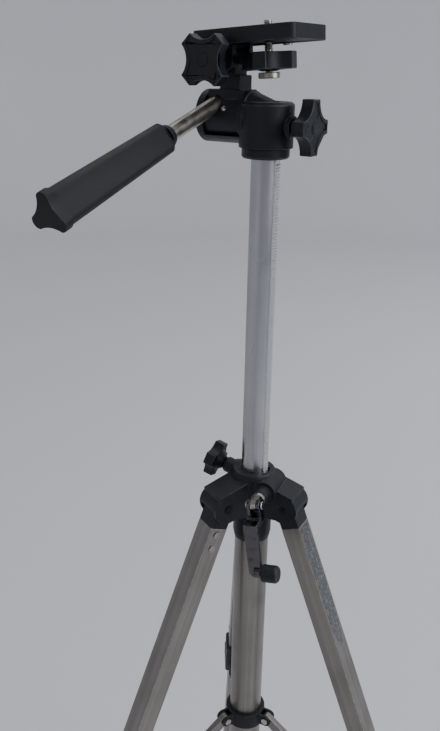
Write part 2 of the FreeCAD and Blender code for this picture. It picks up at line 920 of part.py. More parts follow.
def build_crank():
    """Pinion shaft, cross pin, joggled arm with its rivet, and knob."""
    tongue_high = 4.6
    shaft = fuse(
        "pinion_shaft",
        [
            formed("pinion_gear", pinion_shape()),
            cylinder("shaft_rod", "shaft_radius", 46, (0, -11, 0), "y"),
            cylinder("shaft_head", 6.2, 4, (0, 31.4, 0), "y"),
            block("shaft_tongue", (-2.4, 35, -tongue_high), (2.4, "crank_hub", tongue_high)),
            cylinder("shaft_eye", tongue_high, 4.8, (-2.4, "crank_hub", 0), "x"),
        ],
    )
    pin_bore = cylinder("cross_bore", "rivet_radius", 12, (-6, "crank_hub", 0), "x")
    turn = shaft_frame() * frame_at(FreeCAD.Vector(), (Y_AXIS, size("crank_turned")))
    piece("pinion_shaft", cut("pinion_shaft_drilled", shaft, [pin_bore]), turn)
    cross = fuse(
        "cross_pin",
        [
            cylinder("cross_shank", "rivet_radius", 12.4, (-6.2, "crank_hub", 0), "x"),
            cylinder("cross_head", 3.4, 1.4, (-7.6, "crank_hub", 0), "x"),
            cylinder("cross_tail", 3, 1, (6.2, "crank_hub", 0), "x"),
        ],
    )
    piece("crank_cross_pin", cross, turn)
    cheeks = []
    for side, low in (("left", -5.8), ("right", 2.8)):
        cheeks.append(
            block(
                f"arm_cheek_{side}",
                (low, "crank_hub-4", -15),
                (f"{low}+3", "crank_hub+4", 0),
            )
        )
        cheeks.append(cylinder(f"arm_eye_{side}", 5, 3, (low, "crank_hub", 0), "x"))
    web = block("arm_web", (-5.8, "crank_hub-4", -15), (5.8, "crank_hub+6", -9))
    joggle = block("arm_joggle", (-5.8, "crank_hub-4", -15), (5.8, "crank_plane", -11))
    bar = block(
        "arm_bar", (-5.8, "crank_plane-3", "-crank_length"), (5.8, "crank_plane+1.4", -11)
    )
    tip = cylinder("arm_tip", 5.8, 4.4, (0, "crank_plane-3", "-crank_length"), "y")
    rivet = cylinder(
        "knob_rivet",
        "rivet_radius",
        "crank_knob_length",
        knob_centre("-5.3-crank_knob_length"),
        "x",
    )
    rivet_seat = cylinder("knob_rivet_seat", 3.6, 1.2, knob_centre(-7), "x")
    knuckle = cylinder("knob_knuckle", 4.2, 6, knob_centre(-5.8), "x")
    arm = cut(
        "arm",
        fuse("arm_solid", [*cheeks, web, joggle, bar, tip, rivet, rivet_seat, knuckle]),
        [cylinder("arm_pin_bore", "rivet_radius+running_fit", 20, (-10, "crank_hub", 0), "x")],
    )
    piece("crank_arm", arm, turn)
    knob_end = "-7.3-crank_knob_length"
    grip = cylinder(
        "knob_body",
        "crank_knob_radius",
        "crank_knob_length-2",
        knob_centre(f"{knob_end}+2"),
        "x",
    )
    nose = cone(
        "knob_nose",
        "crank_knob_radius-1.2",
        "crank_knob_radius",
        2,
        knob_centre(knob_end),
        "x",
    )
    bore = cylinder(
        "knob_bore",
        "rivet_radius+running_fit",
        "crank_knob_length-1.2",
        knob_centre(f"{knob_end}+1.5"),
        "x",
    )
    piece("crank_knob", cut("knob", fuse("knob_solid", [grip, nose]), [bore]), turn)


# ---------------------------------------------------------------- knobs and head
# Head frame: origin on top of the column, X right, Y forward, Z up.


def star(name, radius, thickness, hub_length, stud):
    """A four-lobed knob along Z with a tapered hub and a stud behind it."""
    body = block(
        f"{name}_square",
        (f"-({radius})", f"-({radius})", 0),
        (radius, radius, thickness),
    )
    scallops = []
    for number, (x, y) in enumerate(((-1, -1), (-1, 1), (1, -1), (1, 1)), start=1):
        scallops.append(
            cylinder(
                f"{name}_scallop{number}",
                f"({radius})-star_lobe/2",
                f"({thickness})+2",
                (f"{x}*({radius})", f"{y}*({radius})", -1),
            )
        )
    lobes = cut(f"{name}_lobes", body, scallops)
    hub = cone(f"{name}_hub", 5.4, 9.5, hub_length, (0, 0, f"-({hub_length})"))
    shapes = [lobes, hub]
    if stud:
        shapes.append(
            cylinder(f"{name}_stud", "stud_radius", stud, (0, 0, f"-({hub_length})-({stud})"))
        )
    return fuse(name, shapes)


def head_frame():
    """Where the head sits on the column, turned by its pan."""
    top = HINGE_LEVEL + Z_AXIS * size("column_top")
    return frame_at(top, (Z_AXIS, -size("pan_angle")))


def column_lock():
    """The star knob whose stud presses on the column."""
    knob = star("lock_star", "star_radius-4.5", "star_thickness-1", 5, 16)
    piece("column_lock_knob", knob, lock_frame() * frame_at(Z_AXIS * 35.2, (Z_AXIS, 20)))


def pan_parts():
    """The fixed base with its spigot, the turning body with its yoke, and the lock."""
    base = fuse(
        "pan_base_solid",
        [
            cylinder("base_ring", "pan_base_radius", "pan_base_height-1.5", (0, 0, 1.5)),
            cone("base_hem", "pan_base_radius-1.5", "pan_base_radius", 1.5),
            cylinder("base_spigot", 8, 26, (0, 0, "pan_base_height")),
        ],
    )
    socket = cylinder("base_socket", "column_radius", 6, (0, 0, -1))
    piece("pan_base", cut("pan_base_cut", base, [socket]), head_frame())
    low = "pan_base_height+loose_gap"
    adds = [
        cylinder("body_drum", "pan_body_radius", f"pan_body_top-({low})-2", (0, 0, low)),
        cone("body_crown", "pan_body_radius", "pan_body_radius-2", 2, (0, 0, "pan_body_top-2")),
        cylinder(
            "yoke_barrel",
            "yoke_radius",
            "yoke_right+4-yoke_left",
            ("yoke_left", 0, "tilt_height"),
            "x",
        ),
        cone("yoke_slope", "yoke_radius", "12.2", 21, ("yoke_right+2", 0, "tilt_height"), "x"),
        cylinder("lock_pad", 8, 23, (0, 0, 24), "x"),
    ]
    cavity = [
        cylinder(
            "yoke_cavity",
            "tilt_lug_radius+0.5",
            "yoke_right-yoke_left-cheek",
            ("yoke_left+cheek", 0, "tilt_height"),
            "x",
        ),
        block(
            "yoke_opening",
            ("yoke_left+cheek", -30, 15.5),
            ("yoke_right", 30, 60),
        ),
        cylinder("spigot_bore", "8+running_fit", "26.5", (0, 0, 7)),
        cylinder(
            "axle_bore", "tilt_axle_radius+running_fit", 50, ("yoke_left-2", 0, "tilt_height"), "x"
        ),
        cylinder("pan_lock_bore", "stud_radius+running_fit", 20, (8.5, 0, 24), "x"),
    ]
    piece("pan_body", cut("pan_body_cut", fuse("pan_body_solid", adds), cavity), head_frame())
    knob = star("pan_star", "star_radius", "star_thickness", 8, 13.5)
    seat = frame_at(FreeCAD.Vector(31.3, 0, 24), (Y_AXIS, 90))
    piece("pan_lock_knob", knob, head_frame() * seat)


def tilt_parts():
    """The tilting bracket, its axle, and the handle that locks it."""
    left, right = "yoke_left+cheek+0.4", "yoke_right-0.4"
    lug = cylinder(
        "tilt_lug", "tilt_lug_radius", f"{right}-({left})", (left, 0, "tilt_height"), "x"
    )
    neck = block("tilt_neck", (left, -11, "tilt_height"), (right, 11, "tilt_shelf-10.2"))
    shoulder = block(
        "tilt_shoulder", (-36.5, -9, "tilt_shelf-12"), ("yoke_right-4", 9, "tilt_shelf")
    )
    knuckle = cylinder(
        "tilt_knuckle", "knuckle_radius", 18, ("side_pivot_x", -9, "side_pivot_height"), "y"
    )
    riser = block(
        "tilt_riser", (-36.5, -9, "tilt_shelf-1"), (-23.5, 9, "side_pivot_height")
    )
    handle_bore = cylinder(
        "handle_bore", "handle_rod_radius+running_fit", "rod_seat+12.4", (0, 0, "-rod_seat-0.4")
    )
    bores = [
        cylinder(
            "tilt_axle_hole", "tilt_axle_radius", 50, ("yoke_left-2", 0, "tilt_height"), "x"
        ),
        cylinder(
            "side_bolt_hole",
            "stud_radius+running_fit",
            40,
            ("side_pivot_x", -20, "side_pivot_height"),
            "y",
        ),
        placed(held("handle_hole", handle_bore), handle_frame()),
    ]
    solid = fuse("tilt_solid", [lug, neck, shoulder, knuckle, riser])
    piece("tilt_bracket", cut("tilt_cut", solid, bores), head_frame())
    axle = fuse(
        "tilt_axle_solid",
        [
            cylinder(
                "axle_shank", "tilt_axle_radius", "41.2", ("yoke_left-0.4", 0, "tilt_height"), "x"
            ),
            cylinder("axle_head", 6.4, 1.8, ("yoke_left-2.1", 0, "tilt_height"), "x"),
        ],
    )
    piece("tilt_axle", axle, head_frame())


def handle_frame():
    """Handle frame: origin where the rod enters the bracket, Z out along the rod."""
    entry = FreeCAD.Vector(size("handle_x"), size("handle_y"), size("handle_height"))
    return frame_at(entry, (X_AXIS, 90 + size("handle_drop")))


def lobed_wire(radius, level, dent):
    """A closed three-lobed outline: round corners joined by slightly hollow sides."""
    corner = radius * 0.34
    arms = [math.radians(90 + 120 * i) for i in range(3)]
    centres = [
        FreeCAD.Vector(math.cos(a), math.sin(a), 0) * (radius - corner) for a in arms
    ]
    edges = []
    for i, angle in enumerate(arms):
        def on_corner(turn, centre=centres[i], angle=angle):
            out = FreeCAD.Vector(math.cos(angle + turn), math.sin(angle + turn), 0)
            return centre + out * corner + Z_AXIS * level

        half = math.radians(60)
        start, end = on_corner(-half), on_corner(half)
        edges.append(Part.Arc(start, on_corner(0), end).toShape())
        following = arms[(i + 1) % 3]
        out = FreeCAD.Vector(math.cos(following - half), math.sin(following - half), 0)
        heading = FreeCAD.Vector(math.cos(following), math.sin(following), 0)
        finish = heading * (radius - corner) + out * corner + Z_AXIS * level
        middle = (end + finish) * 0.5 - out * dent
        edges.append(Part.Arc(end, middle, finish).toShape())
    return Part.Wire(edges)


def grip_shape():
    """The three-lobed grip, growing towards its flared end."""
    start, end = size("grip_start"), size("grip_end")
    small, large = size("grip_small"), size("grip_large")
    neck = Part.makeCone(size("grip_neck") - 1, size("grip_neck"), 5, Z_AXIS * start)
    body = Part.makeLoft(
        [
            lobed_wire(small - 2.5, start + 5, 0.3),
            lobed_wire(small, start + 9, 0.5),
        ],
        True,
        True,
    )
    main = Part.makeLoft(
        [
            lobed_wire(small, start + 9, 0.5),
            lobed_wire(large - 1.2, end - 9, 0.8),
        ],
        True,
        True,
    )
    flare = Part.makeLoft(
        [
            lobed_wire(large - 1.2, end - 9, 0.8),
            lobed_wire(large, end - 6, 1.6),
            lobed_wire(large, end, 2.0),
        ],
        True,
        True,
    )
    bore = Part.makeCylinder(
        size("handle_rod_radius"), size("rod_in_grip") + 2, Z_AXIS * (start - 1)
    )
    return neck.multiFuse([body, main, flare]).cut(bore)


def handle_parts():
    """The steel rod and the grip pressed on it."""
    rod = cylinder(
        "rod", "handle_rod_radius", "rod_seat+grip_start+rod_in_grip", (0, 0, "-rod_seat")
    )
    place = head_frame() * handle_frame()
    piece("handle_rod", held("rod_in_place", rod), place)
    piece("handle_grip", formed("grip", grip_shape()), place)


def platform_frame():
    """Platform frame: origin on the side-tilt pivot, leaning with the platform."""
    pivot = FreeCAD.Vector(size("side_pivot_x"), 0, size("side_pivot_height"))
    return head_frame() * frame_at(pivot, (Y_AXIS, -size("platform_lean")))


def side_tilt_parts():
    """The bolt through the side-tilt knuckle with its star knob."""
    knob = fuse(
        "side_knob",
        [
            turned(star("side_star", "star_radius", "star_thickness", 6, 0), Z_AXIS, 45),
            cylinder("side_bolt", "stud_radius", 57, (0, 0, -54)),
            cylinder("side_spacer", 5.2, 14, (0, 0, -18.8)),
        ],
    )
    pivot = frame_at(
        FreeCAD.Vector(size("side_pivot_x"), -34.2, size("side_pivot_height")), (X_AXIS, 90)
    )
    piece("side_tilt_knob", knob, head_frame() * pivot)
    nut = cut(
        "side_nut",
        cylinder("side_nut_body", 5.4, 3.6, (0, 15, 0), "y"),
        [cylinder("side_nut_bore", "stud_radius+running_fit", 6, (0, 14, 0), "y")],
    )
    nut_place = frame_at(FreeCAD.Vector(size("side_pivot_x"), 0, size("side_pivot_height")))
    piece("side_tilt_nut", nut, head_frame() * nut_place)


def platform_parts():
    """The camera platform, its captive screw, lock wheel and video pin."""
    top = "platform_under+platform_thickness"
    slab = block(
        "slab",
        ("platform_left", "-platform_half", "platform_under"),
        ("platform_right", "platform_half", top),
    )
    soft = rounded("slab_soft", slab, lambda edge: along(edge, Z_AXIS), 5)
    hollow = block(
        "slab_hollow",
        ("platform_left+platform_rim", "-platform_half+platform_rim", "platform_under-1"),
        ("platform_right-platform_rim", "platform_half-platform_rim", f"{top}-4"),
    )
    shell = cut("slab_shell", soft, [hollow])
    adds = [shell]
    for side, low in (("front", 9.4), ("rear", -15)):
        adds.append(cylinder(f"ear_{side}", "knuckle_radius", 5.6, (0, low, 0), "y"))
        adds.append(
            block(
                f"ear_web_{side}",
                ("-knuckle_radius", low, 0),
                ("knuckle_radius", f"{low}+5.6", f"{top}-3"),
            )
        )
    adds.append(
        cylinder(
            "screw_boss", 9, "platform_thickness-2", ("camera_screw_x", 0, "platform_under+1")
        )
    )
    adds.append(
        cylinder(
            "pin_boss", 5, "platform_thickness-2", ("camera_screw_x+9", 13, "platform_under+1")
        )
    )
    cuts = [
        cylinder("ear_bore", "stud_radius+running_fit", 60, (0, -30, 0), "y"),
        cylinder(
            "screw_hole",
            "camera_screw_radius+running_fit",
            40,
            ("camera_screw_x", 0, "platform_under-5"),
        ),
        cylinder(
            "pin_hole",
            "video_pin_radius+running_fit",
            40,
            ("camera_screw_x+9", 13, "platform_under-5"),
        ),
    ]
    platform = cut("platform", fuse("platform_solid", adds), cuts)
    piece("camera_platform", platform, platform_frame())
    screw_foot = "wheel_bottom-6.1"
    thread_start = f"{top}+thread_clear"
    screw = fuse(
        "camera_screw_solid",
        [
            cylinder(
                "screw_neck",
                "screw_neck_radius",
                f"{thread_start}-({screw_foot})",
                ("camera_screw_x", 0, screw_foot),
            ),
            cylinder(
                "screw_thread",
                "camera_screw_radius",
                "camera_screw_reach-thread_clear",
                ("camera_screw_x", 0, thread_start),
            ),
            cylinder("screw_head", "screw_head_radius", 4.3, ("camera_screw_x", 0, screw_foot)),
        ],
    )
    piece("camera_screw", screw, platform_frame())
    wheel_star = star("wheel_star", "wheel_radius", "wheel_thickness", 1, 0)
    wheel = cut(
        "wheel",
        wheel_star,
        [cylinder("wheel_bore", "screw_neck_radius+running_fit", 30, (0, 0, -8))],
    )
    seat = frame_at(FreeCAD.Vector(size("camera_screw_x"), 0, size("wheel_bottom")), (Z_AXIS, 8))
    piece("camera_lock_wheel", wheel, platform_frame() * seat)
    pin = fuse(
        "video_pin_solid",
        [
            cylinder(
                "video_pin_shank",
                "video_pin_radius",
                "platform_thickness+3",
                ("camera_screw_x+9", 13, "platform_under"),
            ),
            cylinder(
                "video_pin_foot", 3.6, 2, ("camera_screw_x+9", 13, "platform_under-1.9")
            ),
        ],
    )
    piece("video_pin", pin, platform_frame())


def check_and_write():
    """Stops on any failed object, then writes one STEP file for each sub-part."""
    doc.recompute()
    for item in doc.Objects:
        if {"Invalid", "Error"} & set(item.State):
            raise RuntimeError(f"{item.Name} ({item.Label}) failed: {item.State}")
    os.makedirs("parts", exist_ok=True)
    for label, item in NODES.items():
        if item.Shape.isNull() or not item.Shape.isValid():
            raise RuntimeError(f"{label} has no valid shape")
        item.Shape.exportStep(os.path.join("parts", f"{label}.step"))


build_legs()
shoulder_casting()
hinge_pins()
centre_tube()
brace()
build_column()
build_crank()
column_lock()
pan_parts()
tilt_parts()
handle_parts()
side_tilt_parts()
platform_parts()
check_and_write()
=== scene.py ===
"""Dresses the aluminium camera tripod: finishes, rounded pieces, detail, floor, light, camera."""

import json
import logging
import math
from collections.abc import Mapping, Sequence
from dataclasses import dataclass
from enum import Enum
from typing import Any

import bmesh
import bpy
from mathutils import Matrix, Vector


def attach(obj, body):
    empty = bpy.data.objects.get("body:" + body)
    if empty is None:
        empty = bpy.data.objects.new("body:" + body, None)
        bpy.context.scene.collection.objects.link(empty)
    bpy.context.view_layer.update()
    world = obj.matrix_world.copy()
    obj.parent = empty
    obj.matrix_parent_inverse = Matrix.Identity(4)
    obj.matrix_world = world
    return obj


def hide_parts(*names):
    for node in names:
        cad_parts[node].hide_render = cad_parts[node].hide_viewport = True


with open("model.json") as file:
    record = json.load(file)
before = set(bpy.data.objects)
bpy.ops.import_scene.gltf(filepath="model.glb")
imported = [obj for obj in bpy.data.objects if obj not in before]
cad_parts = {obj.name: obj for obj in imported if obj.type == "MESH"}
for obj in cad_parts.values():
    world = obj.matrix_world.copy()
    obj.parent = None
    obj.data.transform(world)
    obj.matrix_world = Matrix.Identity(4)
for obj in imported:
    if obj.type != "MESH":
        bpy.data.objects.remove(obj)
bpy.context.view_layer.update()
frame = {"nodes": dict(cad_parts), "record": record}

LOG = logging.getLogger("tripod")
MM = 0.001
WEAR = "edge_wear"
SHARP = math.radians(38)

# Places in millimetres, as the part's source has them.
COLUMN_Y = -98.0
HINGE_HEIGHT = 905.0
HINGE_RADIUS = 34.0
SPLAY = 21.5
COLUMN_TOP = 1196.0
PAN_ANGLE = -34.0
SIDE_PIVOT = (-30.0, 0.0, 69.0)
PLATFORM_LEAN = -4.0
PLATFORM_TOP = 21.0


class Slot(Enum):
    """The record's material slots."""

    LEG_METAL = "anodised_aluminium"
    COLUMN_METAL = "column_aluminium"
    RACK = "rack_plastic"
    STEEL = "plated_steel"
    CHROME = "dark_chrome"
    RUBBER = "rubber"
    PLASTIC = "black_plastic"


class Axis(Enum):
    """Directions in a piece's own frame."""

    X = (1.0, 0.0, 0.0)
    Y = (0.0, 1.0, 0.0)
    Z = (0.0, 0.0, 1.0)


# ------------------------------------------------------------------ helpers


def linear(code: str) -> tuple[float, float, float, float]:
    """Turn an sRGB hex colour into linear light.

    Args:
        code: The colour, as # and six hex digits.

    Returns:
        Red, green, blue and an alpha of 1.
    """
    channels = [int(code[i : i + 2], 16) / 255 for i in (1, 3, 5)]
    curve = [c / 12.92 if c <= 0.04045 else ((c + 0.055) / 1.055) ** 2.4 for c in channels]
    return (*curve, 1.0)


def per_metre(millimetres: float) -> float:
    """Return the texture scale at which one feature measures that many millimetres."""
    return 1.0 / (millimetres * MM)


def add_node(
    tree: bpy.types.NodeTree,
    kind: str,
    settings: Mapping[str, Any] | None = None,
    inputs: Mapping[str | int, Any] | None = None,
) -> bpy.types.Node:
    """Add a shader node with its settings and links.

    Args:
        tree: The node tree that takes it.
        kind: Blender's name for the kind of node.
        settings: Values of the node's own properties.
        inputs: A value, or an output socket to link, for each input.

    Returns:
        The new node.
    """
    node = tree.nodes.new(kind)
    for name, value in (settings or {}).items():
        setattr(node, name, value)
    for name, value in (inputs or {}).items():
        if isinstance(value, bpy.types.NodeSocket):
            tree.links.new(value, node.inputs[name])
        else:
            node.inputs[name].default_value = value
    return node


def turn(axis: Axis, degrees: float) -> Matrix:
    """Return a rotation about one axis."""
    return Matrix.Rotation(math.radians(degrees), 4, Vector(axis.value))


def move(x: float, y: float, z: float) -> Matrix:
    """Return a shift in millimetres."""
    return Matrix.Translation((x, y, z))


def leg_frame(azimuth: float) -> Matrix:
    """Return a leg's frame in millimetres: X outward, Y along the hinge, Z up the leg."""
    heading = math.radians(azimuth)
    x = HINGE_RADIUS * math.cos(heading)
    y = COLUMN_Y + HINGE_RADIUS * math.sin(heading)
    return move(x, y, HINGE_HEIGHT) @ turn(Axis.Z, azimuth) @ turn(Axis.Y, -SPLAY)


def head_frame() -> Matrix:
    """Return the head's frame in millimetres: origin on the column's top, Y forward."""
    return move(0.0, COLUMN_Y, COLUMN_TOP) @ turn(Axis.Z, PAN_ANGLE)


def platform_frame() -> Matrix:
    """Return the platform's frame in millimetres: origin on the side-tilt pivot."""
    return head_frame() @ move(*SIDE_PIVOT) @ turn(Axis.Y, PLATFORM_LEAN)


def facing(place: Matrix, axis: Axis, sign: float = 1.0) -> Vector:
    """Return which way a frame's axis points."""
    return (place.to_3x3() @ Vector(axis.value)).normalized() * sign


def body_of(node: str) -> str:
    """Return the name of the CAD body that a node belongs to."""
    bodies = frame["record"]["behaviour"]["bodies"]
    return next(body for body, nodes in bodies.items() if node in nodes)


def to_object(bm: bmesh.types.BMesh, name: str, place: Matrix | None = None) -> bpy.types.Object:
    """Turn a bmesh into a smooth-shaded object that stands at the origin.

    Args:
        bm: The mesh, in metres, or in millimetres of the frame that place gives.
        name: The piece's name.
        place: The frame, in millimetres, that the mesh was made in.

    Returns:
        The new object, linked to the scene.
    """
    if place is not None:
        bmesh.ops.transform(bm, matrix=Matrix.Scale(MM, 4) @ place, verts=bm.verts)
    for face in bm.faces:
        face.smooth = True
    for edge in bm.edges:
        edge.smooth = len(edge.link_faces) == 2 and edge.calc_face_angle(0.0) < SHARP
    mesh = bpy.data.meshes.new(name)
    bm.to_mesh(mesh)
    bm.free()
    made = bpy.data.objects.new(name, mesh)
    bpy.context.scene.collection.objects.link(made)
    shading = made.modifiers.new("even_shading", "WEIGHTED_NORMAL")
    shading.keep_sharp = True
    return made


def round_edges(bm: bmesh.types.BMesh, radius: float, segments: int = 2) -> None:
    """Round every sharp edge and mark the rounding for the wear on it.

    Args:
        bm: The mesh to change.
        radius: How far the rounding reaches from the edge, in the mesh's own unit.
        segments: Faces across the rounding.
    """
    sharp = [e for e in bm.edges if len(e.link_faces) == 2 and e.calc_face_angle(0.0) > SHARP]
    made = bmesh.ops.bevel(
        bm,
        geom=sharp,
        affect="EDGES",
        offset=radius,
        offset_type="OFFSET",
        segments=segments,
        profile=0.5,
        material=-1,
        clamp_overlap=False,
        loop_slide=True,
    )
    rounding = set(made["faces"])
    layer = bm.verts.layers.float.get(WEAR) or bm.verts.layers.float.new(WEAR)
    for vert in bm.verts:
        vert[layer] = float(bool(vert.link_faces) and all(f in rounding for f in vert.link_faces))


def lathe(bm: bmesh.types.BMesh, outline: Sequence[tuple[float, float]], steps: int = 40) -> None:
    """Spin an outline round the Z axis.

    Args:
        bm: The mesh that takes it.
        outline: Radius and height of each point.
        steps: Faces round the axis.
    """
    line = [bm.verts.new((radius, 0.0, height)) for radius, height in outline]
    edges = [bm.edges.new(pair) for pair in zip(line, line[1:])]
    bmesh.ops.spin(
        bm,
        geom=line + edges,
        cent=(0.0, 0.0, 0.0),
        axis=(0.0, 0.0, 1.0),
        angle=math.tau,
        steps=steps,
        use_merge=True,
    )
    bmesh.ops.remove_doubles(bm, verts=bm.verts, dist=1e-4)
    bmesh.ops.recalc_face_normals(bm, faces=bm.faces)


def add_bar(bm: bmesh.types.BMesh, low: Vector, high: Vector) -> None:
    """Add a bar between two corners, to be rounded with the rest of its piece."""
    size = Matrix.Diagonal((*(high - low), 1.0))
    bmesh.ops.create_cube(bm, size=1.0, matrix=Matrix.Translation((low + high) / 2) @ size)


# ------------------------------------------------------------------ finishes


@dataclass(frozen=True)
class Finish:
    """What every finish has, and how its material is put together."""

    name: str
    colour: str
    roughness: float

    def material(self) -> bpy.types.Material:
        """Return the finish's material, made when it is first asked for."""
        return bpy.data.materials.get(self.name) or self.make()

    def make(self) -> bpy.types.Material:
        """Make the material: shader constants first, then the finish's own nodes.

        Returns:
            The new material.
        """
        made = bpy.data.materials.new(self.name)
        made.use_nodes = True
        tree = made.node_tree
        tree.nodes.clear()
        shader = add_node(tree, "ShaderNodeBsdfPrincipled", inputs=self.constants())
        coords = add_node(tree, "ShaderNodeTexCoord").outputs["Object"]
        for socket, source in self.nodes(tree, coords).items():
            tree.links.new(source, shader.inputs[socket])
        add_node(tree, "ShaderNodeOutputMaterial", inputs={"Surface": shader.outputs["BSDF"]})
        return made

    def constants(self) -> dict[str, Any]:
        """Return the values that are the same all over the surface."""
        return {"Roughness": self.roughness}

    def nodes(
        self, tree: bpy.types.NodeTree, coords: bpy.types.NodeSocket
    ) -> dict[str, bpy.types.NodeSocket]:
        """Add the finish's own nodes.

        Args:
            tree: The material's node tree.
            coords: Object coordinates.

        Returns:
            The output that feeds each of the shader's inputs.
        """
        raise NotImplementedError

    def noise(
        self,
        tree: bpy.types.NodeTree,
        coords: bpy.types.NodeSocket,
        millimetres: float,
        detail: float = 2.0,
    ) -> bpy.types.NodeSocket:
        """Add noise whose patches measure that many millimetres, and return its height."""
        inputs = {"Vector": coords, "Scale": per_metre(millimetres), "Detail": detail}
        return add_node(tree, "ShaderNodeTexNoise", inputs=inputs).outputs["Fac"]

    def spread(
        self,
        tree: bpy.types.NodeTree,
        value: bpy.types.NodeSocket,
        start: tuple[float, float],
        end: tuple[float, float],
    ) -> bpy.types.NodeSocket:
        """Map the range start of a value to the range end, and return the result.

        Args:
            tree: The material's node tree.
            value: The output to map.
            start: Lowest and highest value that count.
            end: What those two become.

        Returns:
            The mapped output.
        """
        inputs = {"Value": value, 1: start[0], 2: start[1], 3: end[0], 4: end[1]}
        return add_node(tree, "ShaderNodeMapRange", inputs=inputs).outputs["Result"]

    def blend(
        self, tree: bpy.types.NodeTree, share: bpy.types.NodeSocket, first: Any, second: Any
    ) -> bpy.types.NodeSocket:
        """Mix two colours, and return the mixed one.

        Args:
            tree: The material's node tree.
            share: How much of the second colour there is.
            first: A colour or an output.
            second: A colour or an output.

        Returns:
            The mixed output.
        """
        inputs = {0: share, 6: first, 7: second}
        return add_node(tree, "ShaderNodeMix", {"data_type": "RGBA"}, inputs).outputs[2]

    def worn_edges(
        self, tree: bpy.types.NodeTree, coords: bpy.types.NodeSocket, amount: float
    ) -> bpy.types.NodeSocket:
        """Return a mask of the rounded edges, broken up as rubbing breaks it up.

        Args:
            tree: The material's node tree.
            coords: Object coordinates.
            amount: The mask's highest value.

        Returns:
            The mask.
        """
        edges = add_node(tree, "ShaderNodeAttribute", {"attribute_name": WEAR}).outputs["Fac"]
        patches = self.spread(tree, self.noise(tree, coords, 5.0), (0.42, 0.62), (0.15, amount))
        inputs = {0: edges, 1: patches}
        return add_node(tree, "ShaderNodeMath", {"operation": "MULTIPLY"}, inputs).outputs[0]

    def bump(
        self, tree: bpy.types.NodeTree, height: bpy.types.NodeSocket, strength: float, depth: float
    ) -> bpy.types.NodeSocket:
        """Return normals bumped by a height that is depth millimetres at 1."""
        inputs = {"Strength": strength, "Distance": depth * MM, "Height": height}
        return add_node(tree, "ShaderNodeBump", inputs=inputs).outputs["Normal"]


@dataclass(frozen=True)
class MouldedNylon(Finish):
    """Black nylon, injection moulded in a spark-eroded mould.

    The mould leaves a fine pebble that breaks the highlights up, handling polishes the
    corners paler, and dust settles on what faces up.
    """

    pale: str = "#1e2227"
    rubbed: str = "#4a5056"
    dust: str = "#8d8c86"
    grain: float = 0.6
    cloud: float = 26.0
    speck: float = 1.4
    dusty: float = 0.06

    def constants(self) -> dict[str, Any]:
        """Return nylon's index and gloss."""
        return {"Roughness": self.roughness, "IOR": 1.53, "Specular IOR Level": 0.3}

    def nodes(
        self, tree: bpy.types.NodeTree, coords: bpy.types.NodeSocket
    ) -> dict[str, bpy.types.NodeSocket]:
        """Add pebble, cloudy shine, rubbed edges and dust.

        Args:
            tree: The material's node tree.
            coords: Object coordinates.

        Returns:
            Outputs for the colour, the roughness and the normal.
        """
        # Real spark grain is about 0.1 mm; it is drawn coarser, so that it shows at all.
        grain = self.noise(tree, coords, self.grain, 3.0)
        cloud = self.noise(tree, coords, self.cloud, 4.0)
        body = self.blend(
            tree,
            self.spread(tree, cloud, (0.35, 0.7), (0.0, 0.45)),
            linear(self.colour),
            linear(self.pale),
        )
        rubbed = self.blend(
            tree, self.worn_edges(tree, coords, 0.6), body, linear(self.rubbed)
        )
        normal = add_node(tree, "ShaderNodeNewGeometry").outputs["Normal"]
        up = add_node(tree, "ShaderNodeSeparateXYZ", inputs={0: normal}).outputs["Z"]
        settled = self.spread(tree, up, (0.35, 1.0), (0.0, self.dusty))
        speckle = self.noise(tree, coords, self.speck, 5.0)
        specks = self.spread(tree, speckle, (0.3, 0.7), (0.3, 1.0))
        inputs = {0: settled, 1: specks}
        share = add_node(tree, "ShaderNodeMath", {"operation": "MULTIPLY"}, inputs).outputs[0]
        low, high = self.roughness - 0.07, self.roughness + 0.1
        return {
            "Base Color": self.blend(tree, share, rubbed, linear(self.dust)),
            "Roughness": self.spread(tree, cloud, (0.3, 0.7), (low, high)),
            "Normal": self.bump(tree, grain, 0.35, 0.05),
        }


